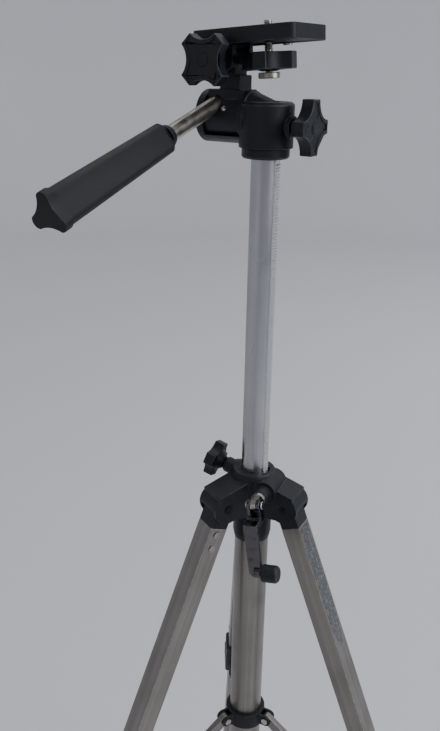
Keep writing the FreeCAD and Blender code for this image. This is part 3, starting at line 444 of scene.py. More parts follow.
@dataclass(frozen=True)
class DrawnAluminium(Finish):
    """Aluminium pulled through a die and anodised.

    The die leaves fine lines all along the piece, the bath a slightly cloudy tint, and
    the rounded corners are rubbed to the bare, paler metal.
    """

    deep: str
    bare: str = "#c8c8c6"
    turned: tuple[float, float, float] = (0.0, 0.0, 0.0)
    along: Axis = Axis.Z
    line: float = 0.5
    band: float = 4.0
    cloud: float = 38.0
    stretch: float = 90.0

    def constants(self) -> dict[str, Any]:
        """Return a metal's constants."""
        return {"Roughness": self.roughness, "Metallic": 1.0}

    def nodes(
        self, tree: bpy.types.NodeTree, coords: bpy.types.NodeSocket
    ) -> dict[str, bpy.types.NodeSocket]:
        """Add die lines, cloudy tint and bare corners.

        Args:
            tree: The material's node tree.
            coords: Object coordinates.

        Returns:
            Outputs for the colour, the roughness and the normal.
        """
        scale = [self.stretch if part else 1.0 for part in self.along.value]
        angles = [math.radians(angle) for angle in self.turned]
        inputs = {"Vector": coords, "Rotation": angles, "Scale": scale}
        settings = {"vector_type": "TEXTURE"}
        drawn = add_node(tree, "ShaderNodeMapping", settings, inputs).outputs["Vector"]
        # Real die lines are about 0.1 mm apart; every fifth or so is drawn.
        lines = self.noise(tree, drawn, self.line, 3.0)
        bands = self.noise(tree, drawn, self.band)
        cloud = self.noise(tree, coords, self.cloud, 4.0)
        tint = self.blend(
            tree,
            self.spread(tree, bands, (0.3, 0.7), (0.0, 0.5)),
            linear(self.colour),
            linear(self.deep),
        )
        lined = self.blend(
            tree, self.spread(tree, lines, (0.35, 0.75), (0.0, 0.4)), tint, linear(self.deep)
        )
        clouded = self.blend(
            tree, self.spread(tree, cloud, (0.45, 0.75), (0.0, 0.35)), lined, linear(self.deep)
        )
        low, high = self.roughness - 0.06, self.roughness + 0.12
        return {
            "Base Color": self.blend(
                tree, self.worn_edges(tree, coords, 0.85), clouded, linear(self.bare)
            ),
            "Roughness": self.spread(tree, cloud, (0.3, 0.7), (low, high)),
            "Normal": self.bump(tree, lines, 0.3, 0.02),
        }


@dataclass(frozen=True)
class PlatedSteel(Finish):
    """Turned steel with a thin nickel or chrome plate.

    It is shinier than the aluminium, slightly warm, and dull where it has tarnished.
    """

    tarnish: str = "#57524a"
    blotch: float = 7.0
    scratch: float = 0.4

    def constants(self) -> dict[str, Any]:
        """Return a metal's constants."""
        return {"Roughness": self.roughness, "Metallic": 1.0}

    def nodes(
        self, tree: bpy.types.NodeTree, coords: bpy.types.NodeSocket
    ) -> dict[str, bpy.types.NodeSocket]:
        """Add tarnish and fine scratches.

        Args:
            tree: The material's node tree.
            coords: Object coordinates.

        Returns:
            Outputs for the colour, the roughness and the normal.
        """
        blotch = self.noise(tree, coords, self.blotch, 6.0)
        scratch = self.noise(tree, coords, self.scratch)
        share = self.spread(tree, blotch, (0.48, 0.72), (0.0, 0.55))
        return {
            "Base Color": self.blend(tree, share, linear(self.colour), linear(self.tarnish)),
            "Roughness": self.spread(
                tree, blotch, (0.4, 0.75), (self.roughness, self.roughness + 0.22)
            ),
            "Normal": self.bump(tree, scratch, 0.15, 0.01),
        }


@dataclass(frozen=True)
class MouldedRubber(Finish):
    """Black rubber, pressure moulded.

    It is matt and a little grey with bloom, and paler and rougher towards the floor.
    """

    bloom: str = "#3c3c3b"
    scuffed: str = "#6f6c66"

    def constants(self) -> dict[str, Any]:
        """Return rubber's index and a faint sheen."""
        return {"Roughness": self.roughness, "IOR": 1.52, "Sheen Weight": 0.08}

    def nodes(
        self, tree: bpy.types.NodeTree, coords: bpy.types.NodeSocket
    ) -> dict[str, bpy.types.NodeSocket]:
        """Add bloom, scuffing near the floor and a soft grain.

        Args:
            tree: The material's node tree.
            coords: Object coordinates.

        Returns:
            Outputs for the colour, the roughness and the normal.
        """
        cloud = self.noise(tree, coords, 9.0, 4.0)
        grain = self.noise(tree, coords, 0.8, 4.0)
        height = add_node(tree, "ShaderNodeSeparateXYZ", inputs={0: coords}).outputs["Z"]
        low = self.spread(tree, height, (0.002, 0.016), (0.7, 0.0))
        patches = self.spread(tree, grain, (0.4, 0.65), (0.1, 1.0))
        inputs = {0: low, 1: patches}
        share = add_node(tree, "ShaderNodeMath", {"operation": "MULTIPLY"}, inputs).outputs[0]
        bloom = self.spread(tree, cloud, (0.35, 0.7), (0.0, 0.6))
        body = self.blend(tree, bloom, linear(self.colour), linear(self.bloom))
        return {
            "Base Color": self.blend(tree, share, body, linear(self.scuffed)),
            "Roughness": self.spread(tree, grain, (0.3, 0.7), (self.roughness - 0.1, 0.95)),
            "Normal": self.bump(tree, grain, 0.4, 0.08),
        }


@dataclass(frozen=True)
class PrintedFoil(Finish):
    """Silver foil label, screen printed in charcoal under a clear coat.

    The foil shines between plain printed blocks, and rubbing has thinned the ink.
    """

    foil: str
    turned: tuple[float, float, float]
    place: tuple[float, float, float]
    block: float = 7.5

    def constants(self) -> dict[str, Any]:
        """Return the clear coat's constants."""
        return {"Roughness": self.roughness, "Coat Weight": 0.5, "Coat Roughness": 0.25}

    def nodes(
        self, tree: bpy.types.NodeTree, coords: bpy.types.NodeSocket
    ) -> dict[str, bpy.types.NodeSocket]:
        """Add plain blocks in rows and worn ink.

        Args:
            tree: The material's node tree.
            coords: Object coordinates.

        Returns:
            Outputs for the colour and for how metallic the surface is.
        """
        angles = [math.radians(angle) for angle in self.turned]
        inputs = {
            "Vector": coords,
            "Location": [value * MM for value in self.place],
            "Rotation": angles,
            "Scale": [MM, MM, MM],
        }
        settings = {"vector_type": "TEXTURE"}
        flat = add_node(tree, "ShaderNodeMapping", settings, inputs).outputs["Vector"]
        split = add_node(tree, "ShaderNodeSeparateXYZ", inputs={0: flat})
        across = {0: split.outputs["Z"], 1: split.outputs["Y"]}
        lying = add_node(tree, "ShaderNodeCombineXYZ", inputs=across).outputs[0]
        blocks = add_node(
            tree,
            "ShaderNodeTexBrick",
            {"offset": 0.37, "squash": 0.7, "squash_frequency": 3},
            {
                "Vector": lying,
                "Color1": (1.0, 1.0, 1.0, 1.0),
                "Color2": (0.0, 0.0, 0.0, 1.0),
                "Mortar": (0.0, 0.0, 0.0, 1.0),
                "Scale": 1.0,
                "Mortar Size": 0.45,
                "Brick Width": self.block,
                "Row Height": self.block * 0.62,
                "Bias": -0.3,
            },
        ).outputs["Color"]
        rub = self.spread(tree, self.noise(tree, coords, 2.2, 6.0), (0.42, 0.56), (0.05, 1.0))
        inputs = {0: blocks, 1: rub}
        share = add_node(tree, "ShaderNodeMath", {"operation": "MULTIPLY"}, inputs).outputs[0]
        return {
            "Base Color": self.blend(tree, share, linear(self.colour), linear(self.foil)),
            "Metallic": share,
        }


@dataclass(frozen=True)
class PaintedFloor(Finish):
    """Pale matt paint on a smooth floor, with the faint unevenness of a roller."""

    def nodes(
        self, tree: bpy.types.NodeTree, coords: bpy.types.NodeSocket
    ) -> dict[str, bpy.types.NodeSocket]:
        """Add a faint roller texture.

        Args:
            tree: The material's node tree.
            coords: Object coordinates.

        Returns:
            Outputs for the colour and the normal.
        """
        cloud = self.noise(tree, coords, 900.0, 3.0)
        share = self.spread(tree, cloud, (0.3, 0.7), (0.0, 0.12))
        return {
            "Base Color": self.blend(tree, share, linear(self.colour), linear("#cfcfd0")),
            "Normal": self.bump(tree, self.noise(tree, coords, 3.0), 0.1, 0.05),
        }


LEG_TINT = {"colour": "#96918c", "roughness": 0.36, "deep": "#726d68"}
NYLON = MouldedNylon("moulded_black_nylon", "#101318", 0.46)
NYLON_GRIP = MouldedNylon("moulded_grip_nylon", "#0e1012", 0.55, pale="#191c1f", grain=0.9)
NYLON_KNOB = MouldedNylon("moulded_knob_nylon", "#111519", 0.42, pale="#1d2226")
TUBE_METAL = DrawnAluminium("drawn_tube_aluminium", **LEG_TINT)
COLUMN_METAL = DrawnAluminium(
    "drawn_bright_aluminium", "#babbbe", 0.3, "#989a9d", bare="#dedfe0", stretch=140.0
)
RACK_METAL = DrawnAluminium(
    "milled_rack_aluminium", "#dcdddf", 0.38, "#bcbdbe", along=Axis.X, stretch=20.0
)
NICKEL = PlatedSteel("nickel_plated_steel", "#b3afa8", 0.22)
BLACKENED = PlatedSteel("blackened_steel", "#2b2e31", 0.42, "#1b1b1b")
ROD_STEEL = PlatedSteel("turned_handle_steel", "#a39e94", 0.28, "#77726a")
DARK_CHROME = PlatedSteel("dark_chrome_steel", "#5f5d61", 0.11, "#3b3838")
RIVET_METAL = PlatedSteel("pressed_rivet_aluminium", "#96928e", 0.22, "#6f6b67")
BRIGHT_CAP = PlatedSteel("bright_chrome_steel", "#d2d2d2", 0.12, "#98958f")
RUBBER = MouldedRubber("pressed_black_rubber", "#191a1b", 0.8)
FLOOR = PaintedFloor("painted_floor", "#dcdcde", 0.9)


def leg_metal(name: str, azimuth: float) -> DrawnAluminium:
    """Return anodised aluminium whose die lines run along one leg."""
    return DrawnAluminium(name, turned=(0.0, -SPLAY, azimuth), **LEG_TINT)


# ------------------------------------------------------------------ pieces


@dataclass(frozen=True)
class Recess:
    """A shallow panel sunk into a flat face, as a moulder thins a thick wall."""

    facing: Vector
    rim: float
    depth: float


@dataclass(frozen=True)
class Softened:
    """A CAD node made again with rounded edges, and with panels where it has them."""

    node: str
    name: str
    finish: Finish
    slot: Slot
    edge: float = 0.5
    segments: int = 2
    recesses: tuple[Recess, ...] = ()

    def build(self) -> bpy.types.Object:
        """Make the piece, let it ride on the node's body and stand for the node.

        Returns:
            The finished piece.
        """
        bm = self.merged()
        round_edges(bm, self.edge * MM, self.segments)
        for recess in self.recesses:
            self.sink(bm, recess)
        made = to_object(bm, self.name)
        made.data.materials.append(self.finish.material())
        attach(made, body_of(self.node))
        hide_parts(self.node)
        LOG.info("%s stands for %s, %d faces", self.name, self.node, len(made.data.polygons))
        return made

    def merged(self) -> bmesh.types.BMesh:
        """Return a copy of the node's mesh with its loose triangles joined into faces."""
        bm = bmesh.new()
        bm.from_mesh(frame["nodes"][self.node].data)
        bmesh.ops.remove_doubles(bm, verts=bm.verts, dist=0.003 * MM)
        bmesh.ops.dissolve_degenerate(bm, dist=0.003 * MM, edges=bm.edges)
        bmesh.ops.dissolve_limit(
            bm, angle_limit=math.radians(0.7), verts=bm.verts, edges=bm.edges
        )
        return bm

    def sink(self, bm: bmesh.types.BMesh, recess: Recess) -> None:
        """Sink a panel into the outermost flat faces that face one way.

        Args:
            bm: The mesh to change, in metres.
            recess: Which way the faces look, how wide a rim stays and how deep to go.
        """
        facing = [f for f in bm.faces if f.normal.dot(recess.facing) > 0.999]
        if not facing:
            raise ValueError(f"{self.name} has no flat face there to sink a panel into")
        reach = max(f.calc_center_median().dot(recess.facing) for f in facing)
        outer = [
            f for f in facing if reach - f.calc_center_median().dot(recess.facing) < 0.05 * MM
        ]
        for thickness, depth in ((recess.rim, 0.0), (0.25, -recess.depth)):
            bmesh.ops.inset_region(
                bm, faces=outer, thickness=thickness * MM, depth=depth * MM, use_boundary=True
            )


def soften(rows: Sequence[tuple[Any, ...]]) -> None:
    """Build a softened piece from each row of Softened's fields."""
    for row in rows:
        Softened(*row).build()


def add_piece(made: bpy.types.Object, finish: Finish, body: str) -> bpy.types.Object:
    """Give a new piece its finish, and let it ride on a body.

    Args:
        made: The new piece.
        finish: Its finish.
        body: The CAD body that it moves with.

    Returns:
        The same piece.
    """
    made.data.materials.append(finish.material())
    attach(made, body)
    LOG.info("%s rides on %s, %d faces", made.name, body, len(made.data.polygons))
    return made


@dataclass
class Shoulder:
    """The casting that the legs hinge on, with the tube below it and the bush in it."""

    tube_edge: float = 0.4

    def build(self) -> None:
        """Build and dress the shoulder's pieces."""
        soften([
            ("shoulder_casting", "shoulder_housing", NYLON, Slot.PLASTIC, 0.6),
            ("column_bush", "column_guide", NYLON_KNOB, Slot.PLASTIC, 0.3),
            ("tube_end_cap", "tube_plug", NYLON, Slot.PLASTIC, 0.5),
            ("leg_hinge_pins", "hinge_bolts", BLACKENED, Slot.STEEL, 0.4),
        ])
        Softened(
            "centre_tube", "lower_tube", TUBE_METAL, Slot.LEG_METAL, self.tube_edge
        ).build()


# Each flip lever's outer face, half width and the level of its leg section's end.
LEVERS = {"upper": (15.4, 9.6, 346.0), "middle": (14.0, 8.2, 655.0)}


@dataclass
class Leg:
    """One three-section leg with its hinge cap, flip locks and foot."""

    letter: str
    azimuth: float
    channel_edge: float = 0.35
    lever_rim: float = 1.6
    ribs: int = 5
    first_rib: float = 24.0
    rib_step: float = 2.8
    tread_rim: float = 2.6

    def build(self) -> None:
        """Build and dress the leg's pieces."""
        metal = leg_metal(f"drawn_leg_{self.letter}_aluminium", self.azimuth)
        for section in ("upper", "middle", "lower"):
            Softened(
                self.named(f"{section}_channel"),
                self.named(f"{section}_section"),
                metal,
                Slot.LEG_METAL,
                self.channel_edge,
                3,
            ).build()
        outward = (leg_frame(self.azimuth).to_3x3() @ Vector(Axis.X.value)).normalized()
        for section in ("upper", "middle"):
            Softened(
                self.named(f"{section}_lock"),
                self.named(f"{section}_clamp"),
                NYLON,
                Slot.PLASTIC,
                0.5,
            ).build()
            Softened(
                self.named(f"{section}_lever"),
                self.named(f"{section}_flip"),
                NYLON_KNOB,
                Slot.PLASTIC,
                0.4,
                recesses=(Recess(outward, self.lever_rim, 0.5),),
            ).build()
            self.finger_ribs(section)
        cap = self.named("hinge_cap")
        Softened(cap, self.named("hinge_end"), NYLON, Slot.PLASTIC, 0.6).build()
        rivets = self.named("side_rivets")
        Softened(rivets, self.named("rivet_heads"), RIVET_METAL, Slot.STEEL, 0.35, 3).build()
        foot = self.named("foot")
        tread = (Recess(Vector((0.0, 0.0, -1.0)), self.tread_rim, 1.0),)
        Softened(foot, self.named("rubber_tip"), RUBBER, Slot.RUBBER, 0.8, 3, tread).build()

    def finger_ribs(self, section: str) -> bpy.types.Object:
        """Add the ribs that a finger pulls a flip lever open by.

        Args:
            section: The leg section that the lever clamps.

        Returns:
            The ribs, as one piece.
        """
        face, half, end = LEVERS[section]
        bm = bmesh.new()
        for number in range(self.ribs):
            level = -end + self.first_rib + number * self.rib_step
            add_bar(
                bm,
                Vector((face - 0.4, -half + 2.4, level)),
                Vector((face + 0.7, half - 2.4, level + 1.3)),
            )
        round_edges(bm, 0.3)
        made = to_object(bm, self.named(f"{section}_finger_ribs"), leg_frame(self.azimuth))
        body = body_of(self.named(f"{section}_lever"))
        return add_piece(made, NYLON_KNOB, body)

    def named(self, stem: str) -> str:
        """Return a name that ends in the leg's letter."""
        return f"{stem}_{self.letter}"


@dataclass
class Label:
    """The foil label on the outer face of one leg: a long strip with a tapered, round end."""

    azimuth: float = 330.0
    face: float = 8.5
    start: float = 22.0
    shoulder: float = 118.0
    tip: float = 140.0
    half_width: float = 8.2
    tip_radius: float = 3.0
    thickness: float = 0.14

    def build(self) -> bpy.types.Object:
        """Build the label on the leg's outer face.

        Returns:
            The label.
        """
        bm = bmesh.new()
        outline = [
            (-self.start, -self.half_width),
            (-self.start, self.half_width),
            (-self.shoulder, self.half_width),
            (-self.tip, self.tip_radius),
            (-self.tip, -self.tip_radius),
            (-self.shoulder, -self.half_width),
        ]
        corners = [bm.verts.new((self.face, y, z)) for z, y in outline]
        sheet = bm.faces.new(corners)
        bmesh.ops.bevel(
            bm,
            geom=list(bm.verts),
            affect="VERTICES",
            offset=2.2,
            offset_type="OFFSET",
            segments=4,
            profile=0.5,
            material=-1,
        )
        sheet = bm.faces[:][0]
        raised = bmesh.ops.extrude_face_region(bm, geom=[sheet])["geom"]
        verts = [item for item in raised if isinstance(item, bmesh.types.BMVert)]
        bmesh.ops.translate(bm, verts=verts, vec=(self.thickness, 0.0, 0.0))
        bmesh.ops.recalc_face_normals(bm, faces=bm.faces)
        place = leg_frame(self.azimuth)
        origin = place.to_translation()
        foil = PrintedFoil(
            "printed_foil_label",
            "#1c1f21",
            0.32,
            "#7b7d7e",
            (0.0, -SPLAY, self.azimuth),
            (origin.x, origin.y, origin.z),
        )
        made = to_object(bm, "leg_label", place)
        return add_piece(made, foil, "leg_b")


@dataclass
class Brace:
    """The collar that slides on the tube, its pins and the three struts."""

    azimuths: Mapping[str, float]
    slope: float = 34.62

    def build(self) -> None:
        """Build and dress the brace's pieces."""
        soften([
            ("brace_collar", "sliding_collar", NYLON, Slot.PLASTIC, 0.5),
            ("brace_pins", "collar_pins", NICKEL, Slot.STEEL, 0.3),
        ])
        for letter, azimuth in self.azimuths.items():
            metal = DrawnAluminium(
                f"drawn_strut_{letter}_aluminium",
                turned=(0.0, self.slope, azimuth),
                along=Axis.X,
                **LEG_TINT,
            )
            Softened(
                f"brace_strut_{letter}", f"spreader_{letter}", metal, Slot.LEG_METAL, 0.5, 3
            ).build()


@dataclass
class Column:
    """The geared centre column with its rack and the fixed disc of the pan joint."""

    rack_edge: float = 0.12

    def build(self) -> None:
        """Build and dress the column's pieces."""
        soften([
            ("column_tube", "bright_column", COLUMN_METAL, Slot.COLUMN_METAL, 0.4),
            ("column_rack", "tooth_strip", RACK_METAL, Slot.RACK, self.rack_edge, 1),
            ("pan_base", "pan_disc", NYLON, Slot.PLASTIC, 0.5),
        ])


@dataclass
class Crank:
    """The gear shaft and the folding winding handle."""

    def build(self) -> None:
        """Build and dress the crank's pieces."""
        soften([
            ("pinion_shaft", "gear_shaft", NICKEL, Slot.STEEL, 0.25),
            ("crank_cross_pin", "crank_rivet", BRIGHT_CAP, Slot.STEEL, 0.4, 3),
            ("crank_arm", "winding_arm", DARK_CHROME, Slot.CHROME, 0.45, 3),
            ("crank_knob", "winding_knob", NYLON_KNOB, Slot.PLASTIC, 0.7, 3),
        ])


@dataclass
class Head:
    """The three-way pan head and its handle."""

    knob_rim: float = 2.2
    knob_panel: float = 0.7
    cap_radius: float = 5.2
    cap_height: float = 0.6
    pan_cap_at: tuple[float, float, float] = (40.6, 0.0, 24.0)
    side_cap_at: tuple[float, float, float] = (-30.0, -43.5, SIDE_PIVOT[2])
    lug_at: tuple[float, float, float] = (-28.5, 0.0, 29.0)
    lug_surface: float = 16.6
    screw_rise: float = 22.0

    def build(self) -> None:
        """Build and dress the head's pieces."""
        across = facing(head_frame(), Axis.X)
        near = facing(head_frame(), Axis.Y, -1.0)
        soften([
            ("pan_body", "pan_housing", NYLON, Slot.PLASTIC, 0.6),
            ("tilt_bracket", "tilt_housing", NYLON, Slot.PLASTIC, 0.6),
            ("tilt_axle", "tilt_bolt", NICKEL, Slot.STEEL, 0.4),
        ])
        Softened(
            "pan_lock_knob",
            "pan_star",
            NYLON_KNOB,
            Slot.PLASTIC,
            0.9,
            3,
            (Recess(across, self.knob_rim, self.knob_panel),),
        ).build()
        Softened(
            "side_tilt_knob",
            "side_tilt_star",
            NYLON_KNOB,
            Slot.PLASTIC,
            0.9,
            3,
            (Recess(near, self.knob_rim, self.knob_panel),),
        ).build()
        soften([
            ("column_lock_knob", "column_star", NYLON_KNOB, Slot.PLASTIC, 0.8, 3),
            ("handle_rod", "pan_handle_rod", ROD_STEEL, Slot.STEEL, 0.4),
            ("handle_grip", "pan_handle_grip", NYLON_GRIP, Slot.PLASTIC, 0.5),
        ])
        self.caps()

    def caps(self) -> None:
        """Add the plugs in the star knobs and the set screw beside the handle."""
        cap = (self.cap_radius, self.cap_height)
        pan = head_frame() @ move(*self.pan_cap_at) @ turn(Axis.Y, 90.0)
        side = head_frame() @ move(*self.side_cap_at) @ turn(Axis.X, 90.0)
        lug = head_frame() @ move(*self.lug_at) @ turn(Axis.X, 90.0 - self.screw_rise)
        screw = lug @ move(0.0, 0.0, self.lug_surface)
        Cap("pan_star_plug", NYLON, body_of("pan_lock_knob"), Slot.PLASTIC, pan, *cap).build()
        Cap("side_star_plug", NYLON, body_of("side_tilt_knob"), Slot.PLASTIC, side, *cap).build()
        Cap(
            "handle_set_screw", BRIGHT_CAP, body_of("tilt_bracket"), Slot.STEEL, screw, 1.9, 0.9
        ).build()


@dataclass(frozen=True)
class Cap:
    """A low dome with a rim groove: a plug in a knob, or the head of a small screw."""

    name: str
    finish: Finish
    body: str
    slot: Slot
    place: Matrix
    radius: float
    height: float

    def build(self) -> bpy.types.Object:
        """Turn the dome on a lathe.

        Returns:
            The cap.
        """
        outline = [(0.0, self.height)]
        for share in (0.3, 0.55, 0.75):
            outline.append((self.radius * share, self.height * (1.0 - 0.45 * share**2)))
        groove = self.height * 0.3
        outline += [
            (self.radius * 0.8, groove),
            (self.radius * 0.86, groove),
            (self.radius * 0.9, self.height * 0.55),
            (self.radius, self.height * 0.45),
            (self.radius, -0.4),
            (0.0, -0.4),
        ]
        bm = bmesh.new()
        lathe(bm, outline)
        made = to_object(bm, self.name, self.place)
        return add_piece(made, self.finish, self.body)


@dataclass(frozen=True)
class CameraBolt:
    """The captive camera bolt: a slotted head, a plain neck and a cut thread."""

    at: float = 30.0
    foot: float = -14.1
    head_height: float = 4.3
    head_radius: float = 8.0
    neck: float = 2.6
    tip: float = 26.0
    major: float = 3.175
    pitch: float = 1.27
    slot_half: float = 0.9
    slot_deep: float = 1.5
    slot_reach: float = 6.2
    steps_round: int = 24
    lower_thread: tuple[float, float] = (4.6, 10.2)
    upper_thread: tuple[float, float] = (PLATFORM_TOP + 0.4, 26.0)

    def build(self) -> bpy.types.Object:
        """Turn the bolt, mill its slot and cut its thread.

        Returns:
            The bolt, which stands for the plain one.
        """
        bm = bmesh.new()
        shelf = self.foot + self.head_height
        outline = [
            (0.0, self.foot),
            (self.slot_reach, self.foot),
            (self.head_radius - 0.5, self.foot),
            (self.head_radius, self.foot + 0.5),
            (self.head_radius, shelf - 0.5),
            (self.head_radius - 0.5, shelf),
            (self.neck, shelf),
            (self.neck, self.tip - 0.5),
            (self.neck - 0.5, self.tip),
            (0.0, self.tip),
        ]
        lathe(bm, outline, 48)
        self.mill_slot(bm)
        for low, high in (self.lower_thread, self.upper_thread):
            self.cut_thread(bm, low, high)
        bmesh.ops.recalc_face_normals(bm, faces=bm.faces)
        made = to_object(bm, "camera_bolt", platform_frame() @ move(self.at, 0.0, 0.0))
        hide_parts("camera_screw")
        return add_piece(made, ROD_STEEL, body_of("camera_screw"))

    def mill_slot(self, bm: bmesh.types.BMesh) -> None:
        """Sink a slot across the head's lower face."""
        for side in (-1.0, 1.0):
            flat = [f for f in bm.faces if self.is_flat(f)]
            geom = {item for f in flat for item in (f, *f.edges, *f.verts)}
            bmesh.ops.bisect_plane(
                bm,
                geom=list(geom),
                plane_co=(side * self.slot_half, 0.0, 0.0),
                plane_no=(1.0, 0.0, 0.0),
            )
        floor = [
            f
            for f in bm.faces
            if self.is_flat(f) and abs(f.calc_center_median().x) < self.slot_half
        ]
        sunk = bmesh.ops.extrude_face_region(bm, geom=floor)["geom"]
        verts = [item for item in sunk if isinstance(item, bmesh.types.BMVert)]
        bmesh.ops.translate(bm, verts=verts, vec=(0.0, 0.0, self.slot_deep))
        bmesh.ops.delete(bm, geom=floor, context="FACES")

    def is_flat(self, face: bmesh.types.BMFace) -> bool:
        """Return whether a face lies on the head's lower face, inside the slot's reach."""
        level = all(abs(v.co.z - self.foot) < 1e-3 for v in face.verts)
        return level and face.calc_center_median().length_squared < (
            self.slot_reach**2 + self.foot**2
        )

    def cut_thread(self, bm: bmesh.types.BMesh, low: float, high: float) -> None:
        """Wind a thread's ridge round the neck.

        Args:
            bm: The mesh that takes it.
            low: Where the thread starts.
            high: Where it ends.
        """
        turns = (high - low - self.pitch) / self.pitch
        steps = round(turns * self.steps_round)
        half = self.pitch * 0.44
        start = low + self.pitch / 2
        profile = (
            (self.neck - 0.1, start - half),
            (self.major, start - 0.1),
            (self.major, start + 0.1),
            (self.neck - 0.1, start + half),
        )
        verts = [bm.verts.new((radius, 0.0, height)) for radius, height in profile]
        face = bm.faces.new(verts)
        bmesh.ops.spin(
            bm,
            geom=[face, *face.edges, *verts],
            cent=(0.0, 0.0, 0.0),
            axis=(0.0, 0.0, 1.0),
            dvec=(0.0, 0.0, self.pitch * turns / steps),
            angle=math.tau * turns,
            steps=steps,
        )


@dataclass(frozen=True)
class RibbedPad:
    """The rubber pad let into the platform: ribs joined by two rails and a ring."""

    left: float = -15.6
    right: float = 60.8
    half: float = 23.2
    sunk: float = 0.9
    step: float = 2.6
    rib: float = 1.5
    screw_at: tuple[float, float] = (30.0, 0.0)
    pin_at: tuple[float, float] = (39.0, 13.0)
    screw_room: float = 7.0
    pin_room: float = 6.0

    def build(self) -> bpy.types.Object:
        """Lay the ribs between the rails, leaving room round the bolt and the pin.

        Returns:
            The pad.
        """
        bm = bmesh.new()
        floor, top = PLATFORM_TOP - self.sunk - 0.1, PLATFORM_TOP - 0.05
        for y in (-self.half, self.half - self.rib):
            add_bar(bm, Vector((self.left, y, floor)), Vector((self.right, y + self.rib, top)))
        count = int((self.right - self.left) / self.step)
        for number in range(count + 1):
            x = self.left + number * self.step
            for low, high in self.spans(x + self.rib / 2):
                add_bar(bm, Vector((x, low, floor)), Vector((x + self.rib, high, top)))
        round_edges(bm, 0.25)
        made = to_object(bm, "ribbed_pad", platform_frame())
        return add_piece(made, RUBBER, body_of("camera_platform"))

    def spans(self, x: float) -> list[tuple[float, float]]:
        """Return the stretches of one rib that clear the bolt and the pin.

        Args:
            x: Where the rib lies along the platform.

        Returns:
            Start and end of each stretch.
        """
        gaps = []
        for (at_x, at_y), room in ((self.screw_at, self.screw_room), (self.pin_at, self.pin_room)):
            if abs(x - at_x) < room:
                reach = math.sqrt(room**2 - (x - at_x) ** 2)
                gaps.append((at_y - reach, at_y + reach))
        stretches, start = [], -self.half
        for low, high in sorted(gaps):
            stretches.append((start, low))
            start = max(start, high)
        stretches.append((start, self.half))
        return [(low, high) for low, high in stretches if high - low > 1.0]


@dataclass
class Platform:
    """The camera platform with its screw, lock wheel and locating pin."""

    pad_rim: float = 3.0
    pad_depth: float = 0.9

    def build(self) -> None:
        """Build and dress the platform's pieces."""
        upward = facing(platform_frame(), Axis.Z)
        Softened(
            "camera_platform",
            "camera_plate",
            NYLON,
            Slot.PLASTIC,
            0.6,
            3,
            (Recess(upward, self.pad_rim, self.pad_depth),),
        ).build()
        RibbedPad().build()
        CameraBolt().build()
        soften([
            ("side_tilt_nut", "side_tilt_end", NICKEL, Slot.STEEL, 0.3),
            ("camera_lock_wheel", "lock_wheel", NYLON_KNOB, Slot.PLASTIC, 0.9, 3),
            ("video_pin", "locating_pin", NICKEL, Slot.STEEL, 0.5, 3),
        ])


# ------------------------------------------------------------------ studio


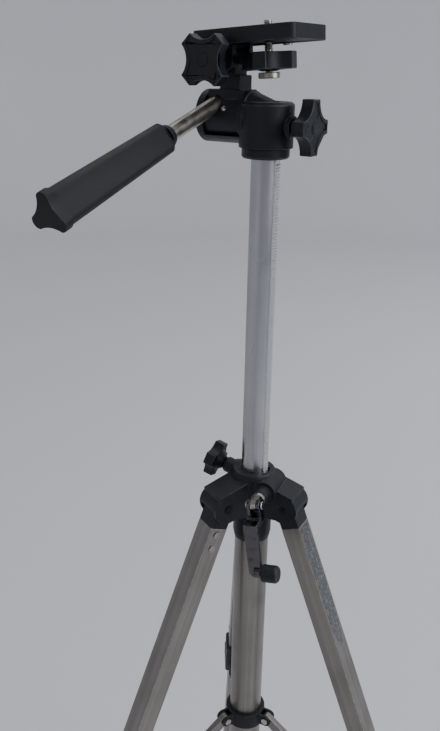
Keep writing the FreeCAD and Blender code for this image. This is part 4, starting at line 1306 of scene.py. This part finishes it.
@dataclass
class Studio:
    """A round room with a coved pale floor, soft light mostly from the right, and the camera."""

    floor_radius: float = 5.5
    cove: float = 1.6
    wall: float = 3.4
    wash_aim: tuple[float, float, float] = (2.6, 4.2, 0.3)
    lens: float = 39.4
    camera_at: tuple[float, float, float] = (-31.56, -626.3, 1264.0)
    pitch: float = 20.79
    roll: float = 1.073
    heading: float = -2.0

    def build(self) -> None:
        """Build the room, the lights and the camera."""
        self.room()
        shoulder = Vector((0.0, COLUMN_Y * MM, HINGE_HEIGHT * MM))
        self.light("window_light", (2.4, -1.5, 2.3), shoulder, 1.9, 62.0, "#f4f7ff")
        self.light("ceiling_light", (0.4, 0.6, 3.6), shoulder, 2.4, 16.0, "#fff8f0")
        self.light("room_fill", (-2.6, -2.2, 1.5), shoulder, 2.2, 3.0, "#fff1e2")
        self.light("wall_wash", (3.4, 1.6, 2.2), Vector(self.wash_aim), 1.6, 60.0, "#eef5ff")
        self.sky()
        self.camera()

    def room(self) -> None:
        """Spin the floor and wall line into a room."""
        bm = bmesh.new()
        steps = 12
        line = [bm.verts.new((0.02, 0.0, 0.0)), bm.verts.new((self.floor_radius, 0.0, 0.0))]
        for step in range(1, steps + 1):
            angle = math.radians(90 * step / steps)
            x = self.floor_radius + self.cove * math.sin(angle)
            line.append(bm.verts.new((x, 0.0, self.cove * (1 - math.cos(angle)))))
        line.append(bm.verts.new((self.floor_radius + self.cove, 0.0, self.cove + self.wall)))
        edges = [bm.edges.new(pair) for pair in zip(line, line[1:])]
        bmesh.ops.spin(
            bm,
            geom=line + edges,
            cent=(0.0, 0.0, 0.0),
            axis=(0.0, 0.0, 1.0),
            angle=math.tau,
            steps=96,
            use_merge=True,
        )
        bmesh.ops.holes_fill(bm, edges=[e for e in bm.edges if e.is_boundary], sides=96)
        top = self.cove + self.wall - 0.01
        lids = [f for f in bm.faces if f.calc_center_median().z > top]
        bmesh.ops.delete(bm, geom=lids, context="FACES_ONLY")
        bmesh.ops.recalc_face_normals(bm, faces=bm.faces)
        bmesh.ops.reverse_faces(bm, faces=bm.faces)
        room = to_object(bm, "studio_floor")
        room.data.materials.append(FLOOR.material())

    def light(
        self,
        name: str,
        at: tuple[float, float, float],
        target: Vector,
        size: float,
        power: float,
        colour: str,
    ) -> None:
        """Hang a square soft light.

        Args:
            name: The light's name.
            at: Where it hangs, in metres.
            target: What it points at, in metres.
            size: Its side, in metres.
            power: Its power, in watts.
            colour: Its colour.
        """
        data = bpy.data.lights.new(name, "AREA")
        data.size = size
        data.energy = power
        data.color = linear(colour)[:3]
        lamp = bpy.data.objects.new(name, data)
        lamp.location = at
        aim = target - Vector(at)
        lamp.rotation_mode = "QUATERNION"
        lamp.rotation_quaternion = aim.to_track_quat("-Z", "Y")
        bpy.context.scene.collection.objects.link(lamp)

    def sky(self) -> None:
        """Fill the room with even light that is weaker on the left."""
        world = bpy.data.worlds.new("room_light")
        world.use_nodes = True
        tree = world.node_tree
        tree.nodes.clear()
        coords = add_node(tree, "ShaderNodeTexCoord").outputs["Generated"]
        across = add_node(tree, "ShaderNodeSeparateXYZ", inputs={0: coords}).outputs["X"]
        ends = {"Value": across, 1: -1.0, 2: 1.0, 3: 0.1, 4: 1.3}
        strength = add_node(tree, "ShaderNodeMapRange", inputs=ends).outputs["Result"]
        inputs = {"Color": linear("#dfe3ea"), "Strength": strength}
        glow = add_node(tree, "ShaderNodeBackground", inputs=inputs).outputs[0]
        add_node(tree, "ShaderNodeOutputWorld", inputs={"Surface": glow})
        bpy.context.scene.world = world

    def camera(self) -> None:
        """Place the camera low in front of the shoulder, looking down at it."""
        data = bpy.data.cameras.new("camera")
        data.sensor_width = 36.0
        data.lens = self.lens
        data.clip_start = 0.01
        eye = bpy.data.objects.new("camera", data)
        bpy.context.scene.collection.objects.link(eye)
        about = move(0.0, COLUMN_Y, 0.0) @ turn(Axis.Z, self.heading)
        look = turn(Axis.X, 90.0 - self.pitch)
        place = about @ move(*self.camera_at) @ look @ turn(Axis.Z, self.roll)
        place.translation *= MM
        eye.matrix_world = place
        bpy.context.scene.camera = eye


def corners(box: tuple[Vector, Vector]) -> list[list[float]]:
    """Return a box's two corners as plain lists."""
    return [list(corner) for corner in box]


def main() -> None:
    """Build every sub-assembly in order."""
    azimuths = {"a": 210.0, "b": 330.0, "c": 90.0}
    assemblies = [Studio(), Shoulder()]
    assemblies += [Leg(letter, azimuth) for letter, azimuth in azimuths.items()]
    assemblies += [Label(), Brace(azimuths), Column(), Crank(), Head(), Platform()]
    for assembly in assemblies:
        LOG.info("building %s", type(assembly).__name__)
        assembly.build()


if __name__ == "__main__":
    logging.basicConfig(level=logging.INFO, format="%(name)s: %(message)s")
    main()
